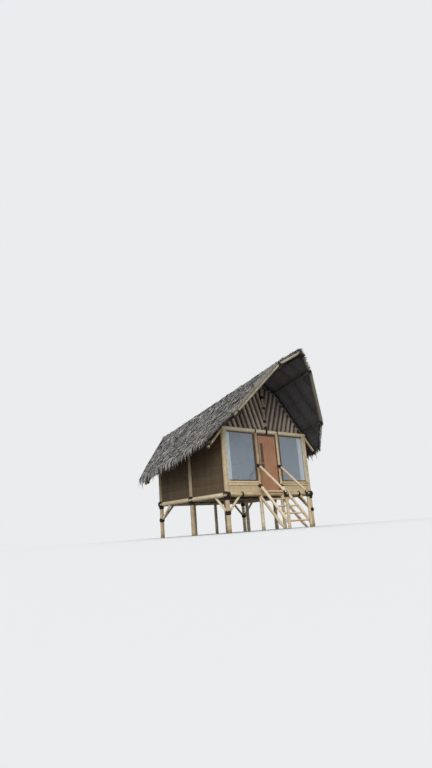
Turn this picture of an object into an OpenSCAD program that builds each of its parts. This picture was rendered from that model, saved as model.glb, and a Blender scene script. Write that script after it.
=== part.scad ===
// Bamboo stilt house: one room on pole stilts, entered by a steep open stair,
// under a kinked thatched roof whose ridge rises to a prow over the front gable.
// Millimetres. X runs to the right seen from the front, Y to the back, Z up.
// The origin is on the ground, midway along the ridge pole.

/* [Room] */
// Distance between the corner post centres across the front
wall_w = 4240; // [3800:10:4600]
// Distance between the front and back post centres
wall_d = 3600; // [3300:10:3900]
// Height of the floor beam centres above the ground
floor_h = 1200; // [1100:10:1400]
// Height of the front top beam above the floor beam
front_h = 2200; // [2150:10:2400]
// Distance between the door post centres
door_post_gap = 1094; // [1060:2:1200]
// Thickness of a woven wall panel
panel_t = 30; // [20:1:40]
// Thickness of the floor deck
deck_t = 40; // [30:1:50]

/* [Poles] */
// Radius of the corner, side and back posts
post_r = 70; // [60:1:75]
// Radius of the door posts and the stilts below them
door_post_r = 62; // [55:1:66]
// Radius of the floor and top beams
beam_r = 75; // [70:1:80]
// Radius of the floor joists
joist_r = 45; // [35:1:50]
// Number of joists across the room
joists = 6; // [4:1:8]
// Radius of the knee braces
brace_r = 40; // [30:1:45]
// Distance of a brace's feet from the post and beam crossing
brace_reach = 600; // [450:10:700]
// Clearance between pieces that seat on each other
fit = 0.3; // [0.2:0.1:0.4]

/* [Windows] */
// Radius of each of the two stacked sill poles
sill_r = 40; // [34:1:44]
// Height of the upper sill pole above the floor beam
sill_h = 410; // [360:5:460]
// Width of a window frame's stile
stile_w = 80; // [60:1:100]
// Width of a window frame's rail
rail_w = 34; // [26:1:44]
// Depth of the window and door frames
frame_d = 50; // [44:1:60]
// Thickness of the window glass
glass_t = 6; // [4:1:8]
// Width of a drawn curtain
curtain_w = 230; // [160:5:300]
// Depth of a curtain's folds
curtain_t = 60; // [40:1:80]

/* [Door] */
// Width of a door jamb
jamb_w = 30; // [24:1:36]
// Height of the board over the door
door_head_h = 76; // [60:1:90]
// Thickness of the door leaf
leaf_t = 36; // [32:1:38]
// Gap between the leaf and what frames it
leaf_gap = 5; // [5:0.5:8]
// Width of the narrow pane in the leaf
pane_w = 140; // [100:1:140]
// Height of the narrow pane
pane_h = 880; // [800:10:920]
// Height of the pane's lower end above the floor
pane_sill = 780; // [700:10:820]
// Distance of the pane's centre from the leaf's free edge
pane_inset = 165; // [155:1:200]
// Height of the lever above the floor
lever_h = 950; // [900:10:1000]
// Distance of the lever's rose from the leaf's free edge
lever_inset = 55; // [50:1:58]
// Length of the lever
lever_l = 120; // [100:1:140]
// Radius of the lever
lever_r = 9; // [8:0.5:11]
// Radius of a hinge pin
hinge_pin_r = 5; // [4:0.5:6]
// Height of one hinge
hinge_h = 90; // [75:1:110]
// Radius of the threshold pole
threshold_r = 35; // [30:1:40]

/* [Stair] */
// Radius of the stringers and newels
stringer_r = 50; // [48:1:56]
// Radius of the handrails
rail_r = 42; // [35:1:46]
// Radius of one tread pole, laid in pairs
tread_r = 28; // [24:1:30]
// Height of one step
rise = 250; // [230:1:260]
// Number of treads between the threshold and the ground
treads = 4; // [3:1:4]
// Distance of the newels from the front wall
newel_out = 1150; // [1100:10:1220]
// Height of the newels above the ground
newel_h = 1150; // [1050:10:1200]
// Height where the upper stringer meets the door post, above the floor beam
stringer_top = 340; // [300:5:380]
// Height where the handrail meets the door post, above the floor beam
handrail_top = 1030; // [950:10:1100]
// Distance between the upper and the lower stringer, measured upright
stringer_gap = 420; // [380:10:460]

/* [Roof] */
// Drop of the roof towards the back, for each unit of length
roof_tilt = 0.21; // [0.17:0.01:0.23]
// Height of the ridge over the front top beam
ridge_rise = 1900; // [1800:10:2000]
// Distance of the kink purlins from the middle
kink_x = 750; // [700:10:800]
// Height of the kink purlins over the front top beam
kink_rise = 1532; // [1450:10:1600]
// Distance of the thatch's lower edge from the middle
eave_x = 2850; // [2750:10:2950]
// Radius of the purlins and the ridge pole
purlin_r = 42; // [36:1:46]
// Radius of the rafters
rafter_r = 30; // [26:1:34]
// Distance between two rafters
rafter_pitch = 450; // [400:10:600]
// Radius of the rake poles along the raked edges
rake_r = 45; // [40:1:48]
// Length of the rake pairs past the wall plates
rake_past = 150; // [100:10:200]
// Thickness of the woven mat under the thatch
mat_t = 8; // [6:1:12]
// Thickness of the thatch
thatch_t = 80; // [70:1:95]
// Depth of the step under each course of thatch
course_step = 28; // [15:1:35]
// Distance that the raked edges of the woven mats lie inside those of the thatch
mat_inset = 20; // [10:1:30]
// Longest jag of a course's ragged lower edge
jag_l = 90; // [40:5:120]
// Thickness of the ridge cap
cap_t = 26; // [20:1:40]
// Width of the ridge cap on each slope
cap_w = 300; // [250:10:350]
// Reach of the ridge in front of the front wall
ridge_front = 1975; // [1850:5:2100]
// Reach of the kink purlins in front of the front wall
kink_front = 1620; // [1500:10:1700]
// Reach of the wall plates in front of the front wall
plate_front = 830; // [750:10:900]
// Reach of the eaves in front of the front wall
eave_front = 20; // [0:5:60]
// Reach of the ridge behind the back wall
ridge_back = 1760; // [1650:10:1850]
// Reach of the kink purlins behind the back wall
kink_back = 1400; // [1300:10:1500]
// Reach of the wall plates behind the back wall
plate_back = 600; // [500:10:700]
// Reach of the eaves behind the back wall
eave_back = 80; // [20:10:120]
// Length of the ridge pole past the thatch at each end
ridge_tip = 150; // [130:5:180]
// Length of the purlins, plates and eave poles past the thatch at each end
purlin_tip = 125; // [115:5:150]

/* [Gable] */
// Radius of the leaning gable poles
gable_pole_r = 55; // [45:1:60]
// Number of leaning poles on each side of the king post
gable_poles = 8; // [6:1:8]
// Lean of the gable poles from upright, in degrees
gable_lean = 20; // [10:1:25]
// Radius of the king posts
king_r = 58; // [50:1:64]
// Radius of the principal rafters along the gable and of the eave struts
principal_r = 45; // [40:1:50]
// Distance of the gable poles behind the middle of the king post
gable_set = 12; // [8:1:16]

/* [Hidden] */
$fn = 32;

// Colours of the bamboo, the woven mats and the rest
bamboo = [0.78, 0.66, 0.45];
pale_bamboo = [0.82, 0.73, 0.56];
dark_bamboo = [0.30, 0.23, 0.17];
weave = [0.80, 0.70, 0.50];
brown_weave = [0.46, 0.34, 0.22];
thatch_grey = [0.47, 0.44, 0.40];

// Places that everything else is measured from
wall_x = wall_w / 2;
door_x = door_post_gap / 2;
middle_y = wall_d / 2;
tilt_angle = atan(roof_tilt);
top_z = floor_h + front_h;
floor_top = floor_h + beam_r + deck_t;
back_top_z = top_z - roof_tilt * wall_d;
shift_y = (ridge_front - wall_d - ridge_back) / 2;

// A wall plate lies on the top beam, so its height follows from both radii
plate_z = top_z + (beam_r + purlin_r + fit) / cos(tilt_angle);
ridge_z = top_z + ridge_rise;
kink_z = top_z + kink_rise;
slope_low = (kink_z - plate_z) / (wall_x - kink_x);
slope_high = (ridge_z - kink_z) / kink_x;
eave_z = plate_z - slope_low * (eave_x - wall_x);

// Roof lines from the ridge to the eave: distance out, height at the front wall,
// and the Y of the front and the back end
STATIONS = [
    [0, ridge_z, -ridge_front, wall_d + ridge_back],
    [kink_x, kink_z, -kink_front, wall_d + kink_back],
    [wall_x, plate_z, -plate_front, wall_d + plate_back],
    [eave_x, eave_z, -eave_front, wall_d + eave_back]
];
RIDGE = 0;
KINK = 1;
PLATE = 2;
EAVE = 3;

// Layers of the roof, measured square to the slope from the purlin centres and
// in an upright section, which the tilt of the roof makes a little longer
lay_factor = sqrt(1 + pow(roof_tilt * cos(atan(slope_high)), 2));
lay_rafter = (purlin_r + rafter_r + fit) * lay_factor;
lay_mat = lay_rafter + (rafter_r + fit) * lay_factor;
lay_thatch = lay_mat + mat_t + fit;
lay_cap = lay_thatch + thatch_t + fit;
lay_principal = -(purlin_r + principal_r + fit) * lay_factor;

// The lower rake pole lies on the purlins in front of the thatch. The upper one lies on
// it, and the rake of its line sets it a little aside, which leaves its clearance
lay_rake = (purlin_r + rake_r + fit) * lay_factor;
lay_rake_upper = lay_rake + 2 * rake_r * lay_factor;
rake_out = rake_r + 2;
rake_gap = rake_r / 4;

// Thatch: columns along the eave, and courses on each strip of the slope; the
// first strip's courses start below the ridge cap
COLUMNS = 32;
COURSES = [1, 7, 4];
cap_share = cap_w / kink_x;
low_lift = lay_thatch + thatch_t - course_step;
high_lift = lay_thatch + thatch_t;
last_jags = 0.8;
ROWS = max(COURSES) + 1;
RAGGED = rands(0.3, 1, (COLUMNS + 1) * ROWS * len(COURSES), 11);

// Leaf of the door, from the edge by the hinge to the free edge
leaf_x = door_x - door_post_r - fit - jamb_w - leaf_gap;
leaf_z = floor_top + 2 * leaf_gap;
leaf_top = top_z - beam_r - fit - door_head_h - leaf_gap;
leaf_h = leaf_top - leaf_z;
pane_x = -leaf_x + pane_inset;
hinge_x = leaf_x + leaf_gap / 2;
knuckle_r = hinge_pin_r + 4;
hinge_y = frame_d / 2 + knuckle_r + 0.5;
leaf_y = frame_d / 2 - leaf_t;
hinge_plate_t = 3;
hinge_levels = [leaf_z + 220, leaf_z + leaf_h / 2, leaf_top - 220];

// Windows lie between the corner post and the door post
window_in = door_x + door_post_r + fit;
window_out = wall_x - post_r - fit;
window_low = floor_h + sill_h + sill_r + fit;
window_high = top_z - beam_r - fit;
sill_low = sill_h - 2 * sill_r - fit;

// Slope of the stair, from the stringer's top to the foot of the newel
stringer_foot = 190;
newel_y = -newel_out;
stringer_slope = (floor_h + stringer_top - stringer_foot) / newel_out;
tread_top = floor_h + beam_r - rise;

function cut(r) = r + fit;
function down(i, y) = STATIONS[i][1] - roof_tilt * y;
// Slope angle of the strip below a station, and the outward bisector there
function strip_angle(i) = i < KINK ? atan(slope_high) : atan(slope_low);
function bisector(i) = i == RIDGE ? 0 : (strip_angle(i - 1) + strip_angle(min(i, PLATE))) / 2;
function mitre(i) = i == RIDGE ? cos(strip_angle(RIDGE)) : cos(bisector(i) - strip_angle(i - 1));
// A point on a roof line, lifted square to the slope and placed at a given Y
function roof_point(i, y, lift) = [
    STATIONS[i][0] + lift * sin(bisector(i)) / mitre(i),
    y,
    down(i, y) + lift * cos(bisector(i)) / mitre(i)
];
// Length of a strip of the slope
function strip_length(i) = norm([
    STATIONS[i + 1][0] - STATIONS[i][0],
    STATIONS[i + 1][1] - STATIONS[i][1]
]);
// A point at a share of the way down a strip, in a column, drawn up by its jag
function thatch_point(row, c) =
    let (i = row[0], lift = row[2], side = c / COLUMNS, k = row[3])
    let (inside = k >= 0 && c > 0 && c < COLUMNS ? 1 : 0)
    let (ragged = inside == 1 ? RAGGED[k * (COLUMNS + 1) + c] : 0)
    let (t = row[1] - inside * ((c + k) % 2) * ragged * jag_l / strip_length(i))
    let (a = roof_point(i, STATIONS[i][2] + side * (STATIONS[i][3] - STATIONS[i][2]), lift))
    let (b = roof_point(i + 1,
        STATIONS[i + 1][2] + side * (STATIONS[i + 1][3] - STATIONS[i + 1][2]), lift))
    a + t * (b - a);
// How far out the roof reaches at a given Y
function reach(y) = lookup(y, [
    [-ridge_front, 0], [-kink_front, kink_x], [-plate_front, wall_x], [-eave_front, eave_x],
    [wall_d + eave_back, eave_x], [wall_d + plate_back, wall_x],
    [wall_d + kink_back, kink_x], [wall_d + ridge_back, 0]
]);
// A point between two roof lines, at a given distance out
function between(i, x, y, lift) =
    let (a = roof_point(i, y, lift), b = roof_point(i + 1, y, lift))
    let (t = (x - STATIONS[i][0]) / (STATIONS[i + 1][0] - STATIONS[i][0]))
    a + t * (b - a);

// A straight pole between two points
module pole(a, b, r) {
    d = b - a;
    translate(a)
        rotate([0, acos(d[2] / norm(d)), atan2(d[1], d[0])])
            cylinder(h = norm(d), r = r);
}

// Two poles that meet at a mitre over the kink of the roof
module bent_pole(a, b, c, r) {
    far = norm(c - b);
    lap = 2 * r;
    for (low = [0, 1]) difference() {
        if (low == 0) pole(a, b + lap * (b - a) / norm(b - a), r);
        else pole(b - lap * (c - b) / far, c, r);
        translate(b) rotate([0, bisector(KINK), 0])
            translate([low == 0 ? -fit / 2 : fit / 2 - far, -far, -far]) cube([far, 2 * far, 2 * far]);
    }
}

module both_sides() {
    children();
    mirror([1, 0, 0]) children();
}

// A pole that stands at x, y from one height to another
module upright(x, y, low, high, r) {
    translate([x, y, low]) cylinder(h = high - low, r = r);
}

module cross_beam(y, z, r) {
    pole([-wall_x - post_r, y, z], [wall_x + post_r, y, z], r);
}

module side_beam(r) {
    pole([wall_x, 0, floor_h], [wall_x, wall_d, floor_h], r);
}

// A roof line's pole, from its front end to its back end
module line_pole(i, r, past = 0) {
    y0 = STATIONS[i][2] - past;
    y1 = STATIONS[i][3] + past;
    pole([STATIONS[i][0], y0, down(i, y0)], [STATIONS[i][0], y1, down(i, y1)], r);
}

// The right slope between two heights of lift, from one station to another
module slope_skin(first, last, low, high, inset) {
    n = last - first + 1;
    points = [for (lift = [low, high]) for (i = [first:last]) for (back = [0, 1])
        roof_point(i, STATIONS[i][2 + back] + (back == 0 ? inset : -inset), lift)];
    top = 2 * n;
    faces = concat(
        [for (k = [0:n - 2]) each [[2 * k, 2 * k + 2, 2 * k + 3], [2 * k, 2 * k + 3, 2 * k + 1]]],
        [for (k = [0:n - 2]) each [[top + 2 * k, top + 2 * k + 3, top + 2 * k + 2],
            [top + 2 * k, top + 2 * k + 1, top + 2 * k + 3]]],
        [for (k = [0:n - 2]) each [[2 * k, top + 2 * k + 2, 2 * k + 2],
            [2 * k, top + 2 * k, top + 2 * k + 2]]],
        [for (k = [0:n - 2]) each [[2 * k + 1, 2 * k + 3, top + 2 * k + 3],
            [2 * k + 1, top + 2 * k + 3, top + 2 * k + 1]]],
        [[0, 1, top + 1], [0, top + 1, top]],
        [[2 * n - 2, top + 2 * n - 1, 2 * n - 1], [2 * n - 2, top + 2 * n - 2, top + 2 * n - 1]]
    );
    polyhedron(points, faces);
}

// A skin of thatch on the right slope. Each row is a strip, a share of the way
// down it, a lift and the number of its row of jags, or -1 for a straight edge.
// The top has all columns; the bottom has them in its last two rows only.
module thatch_skin(top, bottom) {
    n = COLUMNS + 1;
    rows = len(top);
    ends = len(bottom) - 2;
    base = rows * n;
    grid = base + 2 * ends;
    points = concat(
        [for (row = top) for (c = [0:COLUMNS]) thatch_point(row, c)],
        [for (k = [0:ends - 1]) each [thatch_point(bottom[k], 0), thatch_point(bottom[k], COLUMNS)]],
        [for (k = [ends, ends + 1]) for (c = [0:COLUMNS]) thatch_point(bottom[k], c)]
    );
    // Points of the bottom along the front edge and along the back edge
    near = [for (k = [0:ends - 1]) base + 2 * k, grid, grid + n];
    far = [for (k = [0:ends - 1]) base + 2 * k + 1, grid + COLUMNS, grid + n + COLUMNS];
    // Last point of the bottom that lies no further down than each row of the top
    under = [for (row = top) max([for (k = [0:ends + 1])
        if (bottom[k][0] + bottom[k][1] <= row[0] + row[1]) k])];
    faces = concat(
        [for (r = [0:rows - 2]) for (c = [0:COLUMNS - 1]) let (a = r * n + c)
            each [[a, a + 1, a + n + 1], [a, a + n + 1, a + n]]],
        [for (k = [0:ends - 2]) each [[near[k], far[k + 1], far[k]], [near[k], near[k + 1], far[k + 1]]]],
        [for (c = [0:COLUMNS - 1]) [near[ends - 1], grid + c, grid + c + 1]],
        [[near[ends - 1], far[ends], far[ends - 1]]],
        [for (c = [0:COLUMNS - 1]) let (a = grid + c)
            each [[a, a + n + 1, a + 1], [a, a + n, a + n + 1]]],
        [for (r = [0:rows - 2]) each [
            [near[under[r]], r * n, (r + 1) * n],
            [far[under[r]], (r + 1) * n + COLUMNS, r * n + COLUMNS]]],
        [for (r = [0:rows - 2]) if (under[r + 1] > under[r]) for (k = [under[r]:under[r + 1] - 1]) each [
            [near[k], (r + 1) * n, near[k + 1]],
            [far[k], far[k + 1], (r + 1) * n + COLUMNS]]],
        [[near[0], far[0], COLUMNS]],
        [for (c = [0:COLUMNS - 1]) [near[0], c + 1, c]],
        [for (c = [0:COLUMNS - 1]) let (low = grid + n + c, high = (rows - 1) * n + c)
            each [[low, high, high + 1], [low, high + 1, low + 1]]]
    );
    polyhedron(points, faces);
}

// Posts and stilts: full-height poles with a saddle for the plate or beam they carry
module front_corner_posts() {
    color(bamboo) both_sides() difference() {
        upright(wall_x, 0, 0, top_z, post_r);
        cross_beam(0, top_z, cut(beam_r));
    }
}

module side_posts() {
    color(bamboo) both_sides() difference() {
        upright(wall_x, middle_y, 0, down(PLATE, middle_y) - 2 * purlin_r / 3, post_r);
        line_pole(PLATE, cut(purlin_r));
    }
}

module back_corner_posts() {
    color(bamboo) both_sides() difference() {
        upright(wall_x, wall_d, 0, back_top_z, post_r);
        cross_beam(wall_d, back_top_z, cut(beam_r));
    }
}

module door_posts() {
    color(bamboo) both_sides() difference() {
        upright(door_x, 0, floor_h, top_z, door_post_r);
        cross_beam(0, top_z, cut(beam_r));
        cross_beam(0, floor_h, cut(beam_r));
    }
}

module door_stilts() {
    color(bamboo) both_sides() difference() {
        upright(door_x, 0, 0, floor_h, door_post_r);
        cross_beam(0, floor_h, cut(beam_r));
    }
}

module inner_stilts() {
    color(bamboo) both_sides() for (y = [middle_y, wall_d]) difference() {
        upright(door_x, y, 0, floor_h, door_post_r);
        cross_beam(y, floor_h, cut(beam_r));
    }
}

// Floor beams end in fish-mouths against the posts
module cross_beams() {
    color(bamboo) for (y = [0, middle_y, wall_d]) difference() {
        pole([-wall_x, y, floor_h], [wall_x, y, floor_h], beam_r);
        both_sides() upright(wall_x, y, 0, top_z, cut(post_r));
    }
}

module side_beams() {
    color(bamboo) both_sides() difference() {
        side_beam(beam_r);
        for (y = [0, middle_y, wall_d]) {
            upright(wall_x, y, 0, top_z, cut(post_r));
            cross_beam(y, floor_h, cut(beam_r));
        }
    }
}

module floor_joists() {
    z = floor_h + beam_r - joist_r;
    step = (wall_w - 2 * post_r) / (joists + 1);
    color(dark_bamboo) difference() {
        for (k = [1:joists]) {
            x = -wall_x + post_r + k * step;
            pole([x, 0, z], [x, wall_d, z], joist_r);
        }
        for (y = [0, middle_y, wall_d]) cross_beam(y, floor_h, cut(beam_r));
    }
}

module floor_deck() {
    half = wall_x - panel_t / 2 - fit;
    front = panel_t / 2 + fit;
    color(weave) difference() {
        translate([-half, front, floor_h + beam_r])
            cube([2 * half, wall_d - panel_t - 2 * fit, deck_t]);
        both_sides() {
            for (y = [0, middle_y, wall_d]) upright(wall_x, y, 0, top_z, cut(post_r));
            upright(door_x, 0, 0, top_z, cut(door_post_r));
        }
    }
}

module brace_to(dx, dy, y) {
    pole([wall_x, y, floor_h - brace_reach], [wall_x + dx, y + dy, floor_h], brace_r);
}

module knee_braces() {
    color(bamboo) both_sides() difference() {
        for (y = [0, wall_d]) {
            inward = y == 0 ? 1 : -1;
            brace_to(-brace_reach, 0, y);
            brace_to(0, inward * brace_reach, y);
        }
        for (y = [0, wall_d]) {
            upright(wall_x, y, 0, top_z, cut(post_r));
            cross_beam(y, floor_h, cut(beam_r));
        }
        side_beam(cut(beam_r));
    }
}

module front_top_beam() {
    color(bamboo) cross_beam(0, top_z, beam_r);
}

module back_top_beam() {
    color(bamboo) cross_beam(wall_d, back_top_z, beam_r);
}

// Two stacked poles under each window
module sill_poles() {
    color(pale_bamboo) both_sides() difference() {
        for (z = [sill_h, sill_low])
            pole([door_x, 0, floor_h + z], [wall_x, 0, floor_h + z], sill_r);
        upright(wall_x, 0, 0, top_z, cut(post_r));
        upright(door_x, 0, 0, top_z, cut(door_post_r));
    }
}

module front_panels() {
    low = floor_h + beam_r + fit;
    high = floor_h + sill_low - sill_r - fit;
    color(weave) both_sides()
        translate([window_in, -panel_t / 2, low])
            cube([window_out - window_in, panel_t, high - low]);
}

module window_stiles() {
    color(dark_bamboo) both_sides() for (x = [window_in, window_out - stile_w])
        translate([x, -frame_d / 2, window_low])
            cube([stile_w, frame_d, window_high - window_low]);
}

module window_rails() {
    from = window_in + stile_w + fit;
    wide = window_out - window_in - 2 * stile_w - 2 * fit;
    color(dark_bamboo) both_sides() for (z = [window_low, window_high - rail_w])
        translate([from, -frame_d / 2, z]) cube([wide, frame_d, rail_w]);
}

module window_glass() {
    from = window_in + stile_w + fit;
    wide = window_out - window_in - 2 * stile_w - 2 * fit;
    low = window_low + rail_w + fit;
    high = window_high - rail_w - fit;
    color([0.55, 0.62, 0.68]) both_sides()
        translate([from, -glass_t / 2, low]) cube([wide, glass_t, high - low]);
}

// Each curtain hangs behind the stile by the corner post
module curtains() {
    color([0.93, 0.93, 0.91]) both_sides()
        translate([window_out - stile_w / 2 - curtain_w, frame_d / 2 + fit, window_low])
            cube([curtain_w, curtain_t, window_high - window_low]);
}

module door_jambs() {
    color(dark_bamboo) both_sides()
        translate([leaf_x + leaf_gap, -frame_d / 2, floor_top + fit])
            cube([jamb_w, frame_d, leaf_top + leaf_gap - floor_top - 2 * fit]);
}

module door_head() {
    half = leaf_x + leaf_gap + jamb_w;
    color(dark_bamboo)
        translate([-half, -frame_d / 2, leaf_top + leaf_gap]) cube([2 * half, frame_d, door_head_h]);
}

// The threshold pole lies against the front of the floor beam's crown
module threshold_pole() {
    y = -frame_d / 2 - threshold_r - leaf_gap;
    z = sqrt(pow(beam_r + threshold_r + fit, 2) - y * y);
    color(pale_bamboo) difference() {
        pole([-door_x, y, floor_h + z], [door_x, y, floor_h + z], threshold_r);
        both_sides() upright(door_x, 0, 0, top_z, cut(door_post_r));
    }
}

module door_leaf() {
    color([0.66, 0.44, 0.30]) difference() {
        translate([-leaf_x, leaf_y, leaf_z]) cube([2 * leaf_x, leaf_t, leaf_h]);
        translate([pane_x - pane_w / 2, leaf_y - leaf_t, floor_top + pane_sill])
            cube([pane_w, 3 * leaf_t, pane_h]);
    }
}

module door_pane() {
    color([0.25, 0.29, 0.32])
        translate([pane_x - pane_w / 2 + fit, leaf_y + leaf_t / 2 - glass_t / 2,
            floor_top + pane_sill + fit])
            cube([pane_w - 2 * fit, glass_t, pane_h - 2 * fit]);
}

// A round rose, a stub and a lever on each face of the leaf
module door_levers() {
    x = -leaf_x + lever_inset;
    z = floor_top + lever_h;
    rose_r = 24;
    stub = 45;
    color([0.75, 0.75, 0.74]) for (side = [-1, 1]) {
        face = leaf_y + leaf_t / 2 + side * (leaf_t / 2 + fit);
        pole([x, face, z], [x, face + side * 8, z], rose_r);
        pole([x, face, z], [x, face + side * stub, z], lever_r);
        translate([x - lever_r, face + side * stub - lever_r, z - lever_r])
            cube([lever_l, 2 * lever_r, 2 * lever_r]);
    }
}

// Hinge leaves turn with the door around fixed pins
module door_hinge_leaves() {
    third = hinge_h / 3;
    face = frame_d / 2 + fit;
    color([0.6, 0.6, 0.58]) for (z = hinge_levels) difference() {
        union() {
            upright(hinge_x, hinge_y, z - third / 2, z + third / 2, knuckle_r);
            translate([hinge_x - jamb_w, face, z - third / 2])
                cube([jamb_w, hinge_plate_t, third]);
        }
        upright(hinge_x, hinge_y, z - third, z + third, cut(hinge_pin_r));
    }
}

module door_hinge_pins() {
    third = hinge_h / 3;
    face = frame_d / 2 + fit;
    color([0.6, 0.6, 0.58]) for (z = hinge_levels) {
        upright(hinge_x, hinge_y, z - hinge_h / 2, z + hinge_h / 2, hinge_pin_r);
        for (low = [z - hinge_h / 2, z + third / 2 + fit]) {
            upright(hinge_x, hinge_y, low, low + third - fit, knuckle_r);
            translate([hinge_x, face, low]) cube([jamb_w, hinge_plate_t, third - fit]);
        }
    }
}

// Side walls of woven panels between the posts, under the wall plate
module side_wall() {
    drop = (purlin_r + fit) / cos(tilt_angle);
    low = floor_h + beam_r + fit;
    difference() {
        for (bay = [[0, middle_y], [middle_y, wall_d]]) {
            y0 = bay[0] + post_r + fit;
            y1 = bay[1] - post_r - fit;
            translate([wall_x - panel_t / 2, 0, 0]) rotate([90, 0, 90])
                linear_extrude(panel_t) polygon([[y0, low], [y1, low],
                    [y1, down(PLATE, y1) - drop], [y0, down(PLATE, y0) - drop]]);
        }
        cross_beam(0, top_z, cut(beam_r));
        cross_beam(wall_d, back_top_z, cut(beam_r));
    }
}

module left_wall() {
    color(brown_weave) mirror([1, 0, 0]) side_wall();
}

module right_wall() {
    color(brown_weave) side_wall();
}

module back_wall() {
    half = wall_x - post_r - fit;
    low = floor_h + beam_r + fit;
    color(brown_weave) translate([-half, wall_d - panel_t / 2, low])
        cube([2 * half, panel_t, back_top_z - beam_r - fit - low]);
}

// The triangle under the principal rafters at one end of the house,
// from its middle to the foot, at a given distance below them
module gable_outline(y, foot_z, drop) {
    lift = lay_principal - drop;
    ridge = roof_point(RIDGE, y, lift);
    kink = roof_point(KINK, y, lift);
    foot = between(KINK, wall_x, y, lift);
    run = (kink[2] - foot_z) / (kink[2] - foot[2]);
    end_x = kink[0] + run * (foot[0] - kink[0]);
    polygon([[0, foot_z], [0, ridge[2]], [kink[0], kink[2]], [end_x, foot_z]]);
}

module gable_prism(y, front, back, foot_z, drop) {
    translate([0, back, 0]) rotate([90, 0, 0]) linear_extrude(back - front)
        gable_outline(y, foot_z, drop);
}

module king_post(y, beam_z, r) {
    upright(0, y, beam_z, down(RIDGE, y), r);
}

module principal(y, r) {
    a = roof_point(RIDGE, y, lay_principal);
    b = roof_point(KINK, y, lay_principal);
    c = between(KINK, wall_x, y, lay_principal);
    bent_pole(a, b, c, r);
}

// The leaning poles of the front gable, closer to the middle at their feet
module front_gable_poles() {
    y = gable_set;
    step = (wall_x - king_r) / (gable_poles + 0.5);
    color(bamboo) both_sides() difference() {
        intersection() {
            gable_prism(0, y - gable_pole_r, y + gable_pole_r, top_z, 0);
            for (k = [0:gable_poles]) {
                x = king_r + (k - 1.3) * step;
                pole([x, y, top_z], [x + ridge_rise * tan(gable_lean), y, ridge_z], gable_pole_r);
            }
        }
        principal(0, cut(principal_r));
        king_post(0, top_z, cut(king_r));
        translate([0, 0, top_z]) cube([cut(king_r), 2 * king_r, ridge_rise]);
        cross_beam(0, top_z, cut(beam_r));
    }
}

// The woven mat stands on the beam's crown, behind the poles and the rafters
module front_gable_mat() {
    front = gable_set + gable_pole_r + fit;
    foot_z = top_z + sqrt(pow(beam_r, 2) - pow(front, 2)) + fit;
    color(brown_weave) both_sides() gable_prism(0, front, front + mat_t, foot_z, 0);
}

module back_gable() {
    front = wall_d - panel_t / 2;
    foot_z = back_top_z + beam_r + fit;
    color(brown_weave) both_sides() difference() {
        gable_prism(wall_d, front, front + panel_t, foot_z, principal_r + fit);
        king_post(wall_d, back_top_z, cut(king_r));
    }
}

module king_posts() {
    color(bamboo) for (end = [[0, top_z], [wall_d, back_top_z]]) difference() {
        king_post(end[0], end[1], king_r);
        cross_beam(end[0], end[1], cut(beam_r));
        line_pole(RIDGE, cut(purlin_r));
    }
}

module principal_rafters() {
    color(dark_bamboo) both_sides() for (end = [[0, top_z], [wall_d, back_top_z]]) difference() {
        principal(end[0], principal_r);
        king_post(end[0], end[1], cut(king_r));
        line_pole(RIDGE, cut(purlin_r));
        cross_beam(end[0], end[1], cut(beam_r));
    }
}

module ridge_pole() {
    color(dark_bamboo) line_pole(RIDGE, purlin_r, ridge_tip);
}

module kink_purlins() {
    color(dark_bamboo) both_sides() line_pole(KINK, purlin_r, purlin_tip);
}

module wall_plates() {
    color(dark_bamboo) both_sides() line_pole(PLATE, purlin_r, purlin_tip);
}

module eave_poles() {
    x = eave_x - 2 * purlin_r;
    y0 = -eave_front - purlin_tip;
    y1 = wall_d + eave_back + purlin_tip;
    color(dark_bamboo) both_sides()
        pole(between(PLATE, x, y0, 0), between(PLATE, x, y1, 0), purlin_r);
}

// Struts in line with the principal rafters, from the corner posts to the eave poles
module eave_struts() {
    color(bamboo) both_sides() for (end = [[0, top_z], [wall_d, back_top_z]]) difference() {
        pole(between(PLATE, wall_x + post_r, end[0], lay_principal),
            between(PLATE, eave_x, end[0], lay_principal), principal_r);
        upright(wall_x, end[0], 0, end[1], cut(post_r));
        cross_beam(end[0], end[1], cut(beam_r));
    }
}

// Rafters of the right slope, which end inside its raked edges
module slope_rafters() {
    first = ceil((kink_x / 4 - ridge_front) / rafter_pitch);
    last = floor((wall_d + ridge_back - kink_x / 4) / rafter_pitch);
    for (k = [first:last]) {
        y = k * rafter_pitch;
        end = reach(y < middle_y ? y - 2 * rafter_r : y + 2 * rafter_r) - 2 * rafter_r;
        a = between(RIDGE, rafter_r * sin(strip_angle(RIDGE)), y, lay_rafter);
        b = roof_point(KINK, y, lay_rafter);
        if (end < b[0]) pole(a, between(RIDGE, end, y, lay_rafter), rafter_r);
        else bent_pole(a, b, between(KINK, end, y, lay_rafter), rafter_r);
    }
}

module left_rafters() {
    color(dark_bamboo) mirror([1, 0, 0]) slope_rafters();
}

module right_rafters() {
    color(dark_bamboo) slope_rafters();
}

// A pole along the raked edge of one strip, outside the thatch, from a distance
// past its upper roof line to a distance past its lower one
module rake_pole(i, back, lift, from, past) {
    a = roof_point(i, STATIONS[i][2 + back], lift);
    b = roof_point(i + 1, STATIONS[i + 1][2 + back], lift);
    way = (b - a) / norm(b - a);
    square = cross(way, [sin(strip_angle(i)), roof_tilt * cos(strip_angle(i)), cos(strip_angle(i))]);
    out = (back == 0 ? rake_out : -rake_out) * square / norm(square);
    pole(a + from * way + out, b + past * way + out, rake_r);
}

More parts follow.
